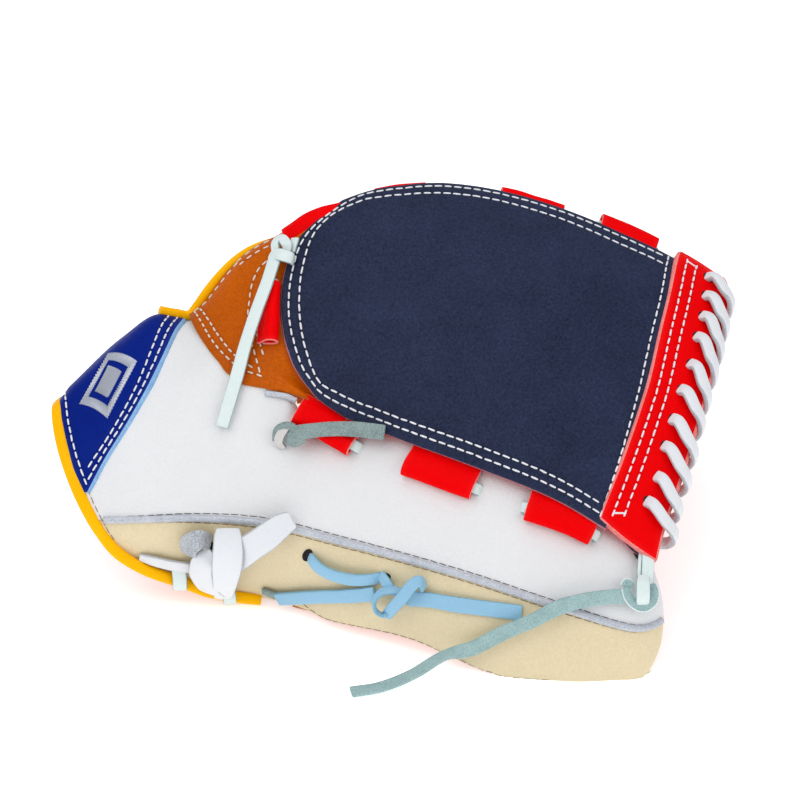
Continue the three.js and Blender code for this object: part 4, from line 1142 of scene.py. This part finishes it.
class GLOVE_OT_web_base(bpy.types.Operator):
    """Rust leather between the hand opening and the web, which laps over the white panel"""

    bl_idname = "glove.web_base"
    bl_label = "Web Base"

    def execute(self, context):
        depth = context.scene.glove.wrinkle

        def place(s, t, d):
            u = mix(1.995, OPENING_TOP + 0.2 * s * s, t)
            left = edge(RUST_LEFT, np.clip(u, 2, OPENING_TOP))
            right = np.minimum(edge(WEB_LEFT, np.maximum(u, 2.03)), 121) - 1
            lap = 1.5 * (1 - ease(0, 0.2, s)) + 1.5 * (1 - ease(0, 0.08, t)) * ease(0, 0.3, s)
            wall = 1.3 + 1.1 * ease(0, 0.25, s) * ease(0, 0.1, t)
            x = mix(left, right, s)
            tuck = 3.4 * ease(0.6, 0.95, s) * (1 - ease(0.02, 0.2, t))
            return skin(x, u, np.minimum(lap, 1.6) - tuck + opening_rise(x, u) - (wall if d else 0.0))

        rows = [dense(row, 0.6, opening_rise) for row in (
            [(63.4, 3.98), (66, 3.6), (69.5, 3.19), (77.6, 2.6), (84.3, 2.3), (91.5, 2.17)],
            [(66.6, 3.9), (69.5, 3.5), (73.2, 3.13), (81.2, 2.56), (87.4, 2.32)],
            [(97.3, 3.69), (92.3, 3.66), (89.2, 3.56), (87.2, 3.39), (86, 2.99), (89.3, 2.5), (91.5, 2.24)],
            [(97.7, 3.59), (94, 3.52), (92.2, 3.37), (90.8, 3.2), (90.3, 2.85), (92.9, 2.47)],
            [(64.5, 4.04), (70, 3.99), (77, 3.97), (84, 4.02)],
            [(85.5, 4.07), (92, 4.06), (99, 4.05)],
            [(86, 3.93), (92, 3.92), (98.5, 3.9)],
        )]
        piece = panel("web_base_leather", ["rust_leather", "rust_edge"], np.linspace(0, 1, 60),
                      np.linspace(0, 1, 90), place,
                      relief=lambda p, s, t: depth * (lumps(p, 17, 51) * 0.5 + lumps(p, 7, 52) * 0.15),
                      seams=rows, groove=0.35)
        put(piece, "rust_leather", "web_base")
        stitch("web_base_stitches", "silver_thread", "web_base_leather", rows, context.scene.glove,
               material="rust_thread", Length=0.0029, Pitch=0.0041)
        return {"FINISHED"}


class GLOVE_OT_web(bpy.types.Operator):
    """Two-layer web: navy outside, red inside, with its rows of stitches"""

    bl_idname = "glove.web"
    bl_label = "Web"

    def execute(self, context):
        depth = context.scene.glove.wrinkle
        sizes = context.scene.glove
        rows = [dense(web_outline(3.2), 1.6), dense(web_outline(7.6), 1.6),
                dense([(float(edge(WEB_RIGHT, u)) - 3.2, u) for u in np.linspace(2.06, 3.97, 16)], 1.6)]

        def navy(t, s, d):
            return web_place(s, t, d, 1.6, 0.0, 0.035)

        def soft(p, t, s):
            return depth * (lumps(p, (42, 34, 34), 61) * 1.3 + lumps(p, (16, 13, 13), 62) * 0.35
                            + lumps(p, (6, 30, 30), 63) * 0.12)

        piece = panel("web_outer_leather", ["navy_leather", "web_edge", "red_leather"], cos_steps(130),
                      np.linspace(0, 1, 130), navy, wall=2.7, relief=soft, seams=rows, groove=0.5,
                      under_slot=2)
        put(piece, "navy_leather", "web_outer")

        def red(t, s, d):
            return web_place(s, t, d, -2.1, 1.2)

        inner = panel("web_inner_leather", ["red_leather", "red_edge"], cos_steps(60), np.linspace(0, 1, 60),
                      red, wall=2.3)
        put(inner, "red_leather", "web_inner")
        stitch("web_stitches", "silver_thread", "web_outer_leather", rows, sizes)
        return {"FINISHED"}


class GLOVE_OT_crossbar(bpy.types.Operator):
    """Red crossbar with its stitched box and the lace turned over its free edge"""

    bl_idname = "glove.crossbar"
    bl_label = "Crossbar"

    def execute(self, context):
        sizes = context.scene.glove

        def place(s, t, d):
            return cross_place(s, t, np.where(d > 0, -5.0, 2.3))

        def row(inset, first, last):
            u = np.linspace(first, last, 14)
            return [(float(edge(WEB_RIGHT, v)) + 0.4 + inset - float(cross_lean(v)), v) for v in u]

        left, right = row(3.7, 2.12, 4.0), row(8, 2.17, 3.99)
        caps = [[(mix(a[0], b[0], k), mix(a[1], b[1], k)) for k in (0.3, 0.75)]
                for a, b in ((left[-1], right[-1]), (left[0], right[0]))]
        rows = [dense(ends, 2.3) for ends in (left, right, *caps)]

        def soft(p, s, t):
            edge_dents = 0.5 * bump(0.72, 0.3, s) * lumps(p, 9, 72)
            return sizes.wrinkle * (lumps(p, 15, 71) * 0.4 - edge_dents)

        piece = panel("crossbar_leather", ["red_leather", "red_edge"], np.linspace(0, 1, 34),
                      np.linspace(0, 1, 130), place, relief=soft, seams=rows, groove=0.4, bulge=0.6)
        put(piece, "red_leather", "crossbar")
        stitch("crossbar_stitches", "silver_thread", "crossbar_leather", rows, sizes)
        for i, (x, u) in enumerate(CROSS_HOLES):
            line, ups = lace_turn(x, u)
            lace = tube("cross_lace_%d_turn" % (i + 1), ["white_lace", "white_suede"], spline(line, 40),
                        spline(ups, 40), 5.7, 3.3, 18, 0.75, uneven=0.06, cut=0.93)
            put(lace, "white_lace", "cross_lace_%d" % (i + 1))
        # Painted shadow in each lace hole: a dark patch where the lace goes in.
        hole_shadow_patches("crossbar_hole_shade", "red_leather",
                [(x - 0.9, u + 0.02, 2.3 + 1.6 * float(cross_low(u)), 3, 2.5, -0.7) for x, u in CROSS_HOLES])
        return {"FINISHED"}


def lace_turn(x, u):
    """One turn of the lace: out of its hole, over the crossbar's edge and under it."""
    following, last = u - 0.13, u - 0.2
    right = float(edge(CROSS_RIGHT, following)) + 1.8 * float(cross_low(following))
    low = float(cross_low(u))
    top = 5.2 + 2.4 * low
    under = -8.5 + 3.0 * float(cross_low(last + 0.14))
    rim = right + 2.3
    rows = [
        (x - 1.5, u + 0.02, top - 3.2),
        (x + 0.5, u, top),
        (mix(x, right, 0.6), mix(u, following, 0.6), top + 0.5),
        (right + 0.2, following, top - 0.1),
        (rim, following - 0.02, (top + under) / 2),
        (right + 0.2, following - 0.05, under + 0.1),
        (mix(x, right, 0.45), last, under),
        (mix(x, right, 0.1), last - 0.01, under + 2.4),
    ]
    out = normal(right, following)
    ahead = unit(on(OUTER, right, following) - on(OUTER, right - 1, following))
    ups = [out - 0.6 * ahead, out, out, out + ahead, ahead, ahead - out, -out, -out - 0.5 * ahead]
    return [skin(*row) for row in rows], ups


class GLOVE_OT_loops(bpy.types.Operator):
    """Red loops round the web, each folded over a mint lace"""

    bl_idname = "glove.loops"
    bl_label = "Loops"

    def execute(self, context):
        for name, x0, u0, x1, u1, lift, width, reach, groove_shade, turned, start, end in LOOPS:

            def place(s, t, d, x0=x0, u0=u0, x1=x1, u1=u1, lift=lift, width=width, reach=reach, groove_shade=groove_shade,
                      turned=turned):
                x, u = mix(x0, x1, s), mix(u0, u1, s)
                centre = skin(x, u, lift + 0.32 * np.sin(np.pi * s) - groove_shade * ease(0.45, 1, s))
                out = normal(x, u)
                dx, du = (x1 - x0) * 0.02, (u1 - u0) * 0.02
                ahead = unit(on(OUTER, x + dx, u + du) - on(OUTER, x - dx, u - du))
                side = np.cross(out, ahead) * turned
                b, h = fold_profile(t, width, reach, d)
                return centre + side * b[..., None] + out * h[..., None]

            piece = panel("loop_" + name + "_leather", ["red_leather", "red_edge"], np.linspace(0, 1, 26),
                          np.linspace(0, 1, 40), place, wall=1.5,
                          relief=lambda p, s, t: lumps(p, 8, 81) * 0.3)
            put(piece, "red_leather", "loop_" + name)
            if start is None:
                continue
            line, ups = over([(mix(x0, x1, k), mix(u0, u1, k), lift + rise)
                              for k, rise in (*start, (0.2, 0), (0.5, 0), (0.8, 0), *end)])
            lace = tube("lace_" + name + "_run", ["mint_lace", "mint_suede"], spline(line, 40),
                        spline(ups, 40), min(5.4, width - 4), 2.2, 14, 0.7)
            put(lace, "mint_lace", "lace_" + name)
        return {"FINISHED"}


def fold_profile(t, width, reach, depth):
    """A strip folded over a lace: across it and over it, from under the web, round the fold and back."""
    fold = 3.3
    radius = fold - depth
    near = -width / 2 + fold
    far = width / 2 + reach
    turn = np.clip((t - 0.35) / 0.35, 0, 1) * np.pi
    on_top = np.clip(t / 0.35, 0, 1)
    below = np.clip((t - 0.7) / 0.3, 0, 1)
    b = near - radius * np.sin(turn) + (far - near) * (1 - on_top) + (width / 2 - near) * below
    sink = 5.2 * ease(0.85, 0.0, on_top)
    h = radius * np.cos(turn) - sink * (1 - ease(0.0, 0.3, turn))
    return b, h


class GLOVE_OT_bindings(bpy.types.Operator):
    """Gold bindings of the wrist and of the hand opening"""

    bl_idname = "glove.bindings"
    bl_label = "Bindings"

    def execute(self, context):
        u = np.array([7.6, 6.5, 5.5, 4.6, 3.86, 3.2, 2.4, 1.53, 0.96, 0.5])
        x = edge(WRIST_EDGE, u)
        place = skin(x + mix(-0.9, 0, ease(3.86, 4.6, u)), u, -0.6)
        free = np.array([(27.3, 57.4, 32), (38.6, 57.4, 22.8), (52, 58.2, 16), (60, 58.8, 12.3),
                         (68.2, 59.4, 8.2), (80, 60, 4.9), (91.6, 60.4, 3.1)])
        line = np.vstack([place, free])
        ups = np.vstack([normal(x, u), np.tile([0.3, -1, 0.4], (len(free), 1))])
        piece = tube("binding_wrist_leather", ["gold_binding"], spline(line, 260), spline(ups, 260), 5.4, 3.8,
                     22, 0.8, uneven=0.05)
        put(piece, "gold_binding", "binding_wrist")
        rows = ((46, 4.2, 2.8), (53, 4.2, 2.6), (59.5, 4.21, 2.3), (65, 4.22, 4.2), (71, 4.22, 6),
                (78, 4.24, 6.4), (84, 4.28, 5.4), (90, 4.38, 3), (97, 4.56, 0.8), (101.8, 4.86, 0.5),
                (102, 5.5, 0.5), (102, 6.3, 0.5), (101, 6.98, 0.5), (94, 7.22, -1.2), (80, 7.24, -1.2),
                (62, 7.24, -1.2), (50, 7.22, -1.2))
        line, ups = over(rows)
        piece = tube("binding_opening_leather", ["gold_binding"], spline(line, 240), spline(ups, 240), 5.6,
                     4.6, 22, 0.8, uneven=0.05)
        put(piece, "gold_binding", "binding_opening")
        return {"FINISHED"}


# Knots and short runs, by node: slot, leather, edge leather, and strands. A strand has its thickness, how far
# under it the point lies from which its flat side faces away, its widths, and its rows of x, u, lift.
STRANDS = {
    "knot_top": ("mint_lace", "mint_lace", "mint_suede", (
        (1.8, 9, (3.4, 4.8, 5, 4.6, 4), ((104.2, 3.56, 3), (105.4, 3.64, 5), (103.4, 3.74, 6),
                                         (101.2, 3.73, 6), (100.6, 3.63, 5))),
        (1.9, 6, (5.4, 5.7, 5.6, 5.2), ((98.4, 3.73, 1.5), (98.9, 3.64, 4.5), (103.8, 3.52, 8),
                                        (107.1, 3.47, 6.5), (107.1, 3.48, 3))),
        (1.8, 12, (4,), ((108, 3.72, 1.6), (107.6, 3.66, 2.4), (106.2, 3.6, 1.4))),
    )),
    "knot_low": ("grey_lace", "grey_lace", "grey_suede", (
        (1.7, 4, (4.4,), ((101.9, 1.58, 1.5), (100.6, 1.61, 5), (102, 1.67, 5.5), (104.2, 1.72, 4),
                          (105.9, 1.71, 3))),
        (4.2, 1, (1.8,), ((99.9, 1.61, 4), (100.4, 1.68, 5), (103.7, 1.72, 5.5), (106.9, 1.72, 5.5),
                          (108.2, 1.68, 5.5))),
        (1.9, 9, (3.2, 3.8, 4.2), ((108.7, 1.718, 4), (106.4, 1.674, 5.5), (106, 1.623, 6),
                                   (108.3, 1.63, 5.8), (111.9, 1.68, 6.2))),
    )),
    "knot_tip": ("mint_lace", "mint_lace", "mint_suede", (
        (1.9, 5, (5, 6, 6.2, 6, 5), ((261.6, 1.69, 4), (260.9, 1.62, 7.5), (260.9, 1.51, 8), (261.2, 1.4, 6),
                                     (261.8, 1.36, 3))),
        (4.6, 0, (2.2,), ((254.1, 1.5, 4.5), (255.4, 1.4, 5), (258.5, 1.34, 5), (262, 1.34, 5),
                          (265.5, 1.44, 5), (266.2, 1.56, 4.5), (265.4, 1.63, 3))),
        (3.8, 0, (2,), ((256.8, 1.55, 4), (254.5, 1.57, 4.5), (253.3, 1.51, 4))),
    )),
    "knot_thumb": ("sky_lace", "sky_lace", "sky_suede", (
        (2, 2, (5, 4.6, 4.4, 4.4, 4.6, 4.8), ((157.8, 0.66, 4.5), (153.6, 0.67, 5.5), (148.4, 0.62, 6),
                                              (145.5, 0.51, 6.5), (146.1, 0.38, 6.5), (149.5, 0.33, 6),
                                              (152.7, 0.4, 5))),
        (1.9, 6, (5, 5.6, 5.8, 5.6, 5), ((150.3, 0.32, 4.5), (153.7, 0.47, 8), (158.9, 0.67, 9.5),
                                         (162.9, 0.82, 8.5), (165.3, 0.85, 6), (166, 0.77, 3.5))),
    )),
    "knot_heel": ("white_lace", "white_lace", "white_suede", (
        (2.2, 8, (8, 10, 13.5, 14.2, 13, 11), ((74.3, 0.03, 3), (75.7, 0.29, 8.6), (78.1, 0.6, 11.4),
                                               (79.4, 0.81, 11.4), (79.2, 0.92, 9.6), (78.5, 0.95, 5.5))),
        (2, 8, (8, 11, 12, 11, 8), ((71.6, 0.71, 7), (67.6, 0.63, 8.6), (65.9, 0.43, 8), (68.6, 0.2, 6.6),
                                    (73, 0.08, 4))),
    )),
    "lace_tip": ("mint_lace", "mint_lace", "mint_suede", (
        (1.9, 30, (5.8,), ((264.4, 1.99, 0.2), (264, 1.89, 2.5), (263.5, 1.7, 3.2), (263.1, 1.57, 2.6))),
        (1.6, 30, (1.8,), ((261.3, 1.94, 0.4), (260.2, 1.81, 2.5), (259.8, 1.66, 3))),
    )),
    "lace_thumb": ("sky_lace", "sky_lace", "sky_suede", (
        (2, 30, (4, 5.4, 6, 6, 6, 5.6, 5), ((114.1, 0.764, -0.9), (115.5, 0.751, 1.5), (119.3, 0.697, 2.9),
                                            (126.2, 0.648, 3), (135.3, 0.653, 3), (142.6, 0.7, 2.2),
                                            (145.6, 0.728, 0.2))),
        (1.9, 20, (5,), ((146.2, 0.76, 0.6), (149.2, 0.72, 3), (151.6, 0.65, 3.5))),
    )),
    "tail_heel": ("white_lace", "white_lace", "white_suede", (
        (2, 30, (14, 13.4, 12.6, 11.4, 8.6), ((81, 0.69, 7), (88.9, 0.84, 8.8), (96.1, 0.94, 7.8),
                                              (102.4, 1.04, 6.4), (107.1, 1.1, 5.4))),
    )),
    "lace_heel": ("white_lace", "white_lace", "white_suede", (
        (2, 30, (4, 5.6, 6, 6), ((37.8, 0.2, 1), (44.7, 0.29, 2.4), (52.5, 0.33, 2.6), (60.3, 0.38, 3))),
    )),
}
# Small pieces that stand for no node of their own: name, slot, leather, edge leather, strand.
EXTRAS = (
    ("heel_flap", "white_lace", "pale_suede", "white_suede",
     (1.9, 5, (7, 9, 10, 9, 6), ((70, 0.79, 4), (65.7, 0.84, 6.6), (61.1, 0.78, 7), (60.5, 0.66, 5.6),
                                 (63.9, 0.57, 4)))),
    ("heel_wrap_left", "mint_lace", "mint_lace", "mint_suede",
     (1.6, 4, (6.4,), ((55.2, 0.3, 2.2), (55.9, 0.2, 4.4), (55.8, 0.09, 4.9), (55.6, -0.02, 3)))),
    ("heel_wrap_right", "mint_lace", "mint_lace", "mint_suede",
     (1.6, 4, (6,), ((76.4, 0.26, 1.8), (77.2, 0.16, 3.8), (77.6, 0.06, 4.4), (77.6, -0.03, 3)))),
    ("heel_end", "grey_lace", "grey_suede", "grey_suede",
     (1.8, 20, (4,), ((93, 0.16, 1), (96, 0.16, 1.8), (99, 0.14, 1.4)))),
    ("web_foot", "navy_leather", "navy_leather", "web_edge",
     (1.6, 30, (3, 3.6, 3.8, 3.6, 3), ((243, 2.03, 0.6), (247.6, 2.022, 1), (253, 1.992, 1.2),
                                       (258.4, 1.942, 1), (261.5, 1.925, 0.2)))),
    ("palm_welt_end", "silver_welt", "silver_welt", "silver_welt",
     (1.9, 30, (2.6,), ((94.5, 1.972, 0.9), (100.1, 1.962, 1.3), (104, 1.962, 1.2), (108, 1.95, 0.4)))),
)


def strand(name, main, side, shape):
    """One strand of a knot, flat towards the middle that it winds round."""
    thick, depth, widths, rows = shape
    place, away = over(rows)
    centre = place.mean(axis=0) - unit(away.mean(axis=0)) * depth
    line = spline(place, 16 * (len(rows) - 1))
    sides = 12 if max(widths) < 3 else 18
    return tube(name, [main, side], line, line - centre, widths, thick, sides, 0.6, uneven=0.05)


def hole_shadow_patches(name, slot, spots):
    """Painted shadows of the lace holes, each a dark lens laid over the leather: x, u, lift, half its length,
    half its width, turn.
    """
    points, faces = [], []
    for x, u, lift, long, short, turn in spots:
        out = normal(x, u)
        ahead = unit(on(OUTER, x + 1, u) - on(OUTER, x - 1, u))
        side = np.cross(out, ahead)
        a = ahead * math.cos(turn) + side * math.sin(turn)
        b = side * math.cos(turn) - ahead * math.sin(turn)
        centre = skin(x, u, lift)
        start = len(points)
        points.append(centre + out * 0.3)
        for size, rise in ((0.6, 0.26), (0.9, 0.12), (1.0, -0.2)):
            for k in range(16):
                c, s = math.cos(k * math.pi / 8), math.sin(k * math.pi / 8)
                points.append(centre + (a * c * long + b * s * short) * size + out * rise)
        points.append(centre - out * 0.3)
        first, middle, last, under = start + 1, start + 17, start + 33, start + 49
        for k in range(16):
            n = (k + 1) % 16
            faces.append((start, first + k, first + n))
            for high, low in ((first, middle), (middle, last)):
                faces.append((high + k, low + k, low + n, high + n))
            faces.append((last + k, under, last + n))
    flat = np.zeros(len(points))
    return put(make_mesh(name, points, faces, ["painted_hole_shadow"], None, {"rim": flat, "press": flat}), slot)


class GLOVE_OT_knots(bpy.types.Operator):
    """Knots of the laces, the short runs between holes, and painted shadows in the holes"""

    bl_idname = "glove.knots"
    bl_label = "Knots"

    def execute(self, context):
        for name, (slot, main, side, strands) in STRANDS.items():
            mains = [side if name == "knot_low" and i else main for i in range(len(strands))]
            parts = [strand("%s_strand_%d" % (name, i), mains[i], side, shape)
                     for i, shape in enumerate(strands)]
            put(join(name + "_laces", parts) if len(parts) > 1 else parts[0], slot, name)
        for name, slot, main, side, shape in EXTRAS:
            put(strand(name, main, side, shape), slot)
        # Painted shadows in the lace holes of the thumb's panels.
        hole_shadow_patches("thumb_hole_shade", "tan_leather",
                [(113.2, 0.768, 0.2, 3.6, 2.2, 1.2), (66, 0.64, 0.2, 8, 4.4, 0.2),
                 (147.6, 0.74, 0.2, 3.2, 2, 0.4)])
        hole_shadow_patches("white_hole_shade", "white_leather", [(260.6, 1.925, 0.5, 4.6, 2.6, -0.7)])
        return {"FINISHED"}


class GLOVE_OT_ornament(bpy.types.Operator):
    """Plain lozenge on the strap in silver satin stitch"""

    bl_idname = "glove.ornament"
    bl_label = "Ornament"

    def execute(self, context):
        centre = np.array([24, 3.22])
        corners = np.array([(24, 2.5), (37, 3.22), (24, 3.95), (11, 3.22), (24, 2.5)])
        steps = 8
        bar_threads, middle_threads = 18, 24

        def threads(count):
            return lambda p, s, t: (0.34 * np.cos(t * 2 * np.pi * count)
                                    + 0.5 * np.cos(np.pi * (s - 0.5)) - 0.25)

        parts = []
        for k in range(4):
            def bar(s, t, d, k=k):
                size = mix(1.0, 0.7, s)[..., None]
                spot = centre + (mix(corners[k], corners[k + 1], t[..., None]) - centre) * size
                return skin(spot[..., 0], spot[..., 1], 2.0 - d)

            parts.append(panel("ornament_bar_%d" % k, ["silver_thread"], np.linspace(0, 1, 9),
                               np.linspace(0, 1, bar_threads * steps + 1), bar, wall=1,
                               relief=threads(bar_threads), bulge=0.3))

        def heart(s, t, d):
            half = 6 * (1 - np.abs(2 * t - 1) * 0.92)
            return skin(centre[0] + (2 * s - 1) * half, mix(2.89, 3.55, t), 2.0 - d)

        parts.append(panel("ornament_middle", ["silver_thread"], np.linspace(0, 1, 11),
                           np.linspace(0, 1, middle_threads * steps + 1), heart, wall=1,
                           relief=threads(middle_threads), bulge=0.3))
        put(join("ornament_stitches", parts), "silver_thread", "ornament")
        return {"FINISHED"}


class GLOVE_OT_stage(bpy.types.Operator):
    """Pale floor and soft studio light"""

    bl_idname = "glove.stage"
    bl_label = "Stage"

    def execute(self, context):
        mesh = bpy.data.meshes.new("floor")
        size = 6.0
        corners = [(-size, -size, 0), (size, -size, 0), (size, size, 0), (-size, size, 0)]
        mesh.from_pydata(corners, [], [(0, 1, 2, 3)])
        floor = new_object("floor", mesh)
        material = bpy.data.materials.new("floor")
        material.use_nodes = True
        shader = material.node_tree.nodes["Principled BSDF"]
        shader.inputs["Base Color"].default_value = (0.98, 0.98, 0.98, 1)
        shader.inputs["Emission Color"].default_value = (1, 1, 1, 1)
        shader.inputs["Emission Strength"].default_value = 0.5
        shader.inputs["Roughness"].default_value = 0.75
        shader.inputs["Specular IOR Level"].default_value = 0.2
        mesh.materials.append(material)
        target = Vector((0, 0, 0.05))
        for name, place, energy, wide in LAMPS:
            data = bpy.data.lights.new(name, "AREA")
            data.energy = energy
            data.size = wide
            lamp = new_object(name, data)
            lamp.location = place
            lamp.rotation_euler = (target - Vector(place)).to_track_quat("-Z", "Y").to_euler()
        world = bpy.data.worlds.new("studio")
        world.use_nodes = True
        background = world.node_tree.nodes["Background"]
        background.inputs["Color"].default_value = (0.95, 0.97, 1.0, 1)
        background.inputs["Strength"].default_value = 0.52
        context.scene.world = world
        context.scene.view_settings.view_transform = "Standard"
        return {"FINISHED"}


OPERATORS = (GLOVE_OT_camera, GLOVE_OT_finishes, GLOVE_OT_tails, GLOVE_OT_thumb, GLOVE_OT_palm,
             GLOVE_OT_fingers, GLOVE_OT_hand, GLOVE_OT_web_base, GLOVE_OT_web, GLOVE_OT_crossbar,
             GLOVE_OT_loops, GLOVE_OT_bindings, GLOVE_OT_knots, GLOVE_OT_ornament, GLOVE_OT_stage)


class GLOVE_PT_panel(bpy.types.Panel):
    """Sizes, colours and build steps of the glove"""

    bl_idname = "GLOVE_PT_panel"
    bl_label = "Softball Glove"
    bl_space_type = "VIEW_3D"
    bl_region_type = "UI"
    bl_category = "Glove"

    def draw(self, context):
        for key in GloveSizes.__annotations__:
            self.layout.prop(context.scene.glove, key)
        for operator in OPERATORS:
            self.layout.operator(operator.bl_idname)


CLASSES = (GloveSizes, *OPERATORS, GLOVE_PT_panel)


def register():
    for cls in CLASSES:
        bpy.utils.register_class(cls)
    bpy.types.Scene.glove = PointerProperty(type=GloveSizes)


def unregister():
    del bpy.types.Scene.glove
    for cls in reversed(CLASSES):
        bpy.utils.unregister_class(cls)


def main():
    """Builds the glove."""
    register()
    for operator in OPERATORS:
        step = getattr(bpy.ops.glove, operator.bl_idname.split(".")[1])
        if step() != {"FINISHED"}:
            raise RuntimeError(operator.bl_label + " could not be made")
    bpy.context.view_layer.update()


if __name__ == "__main__":
    main()
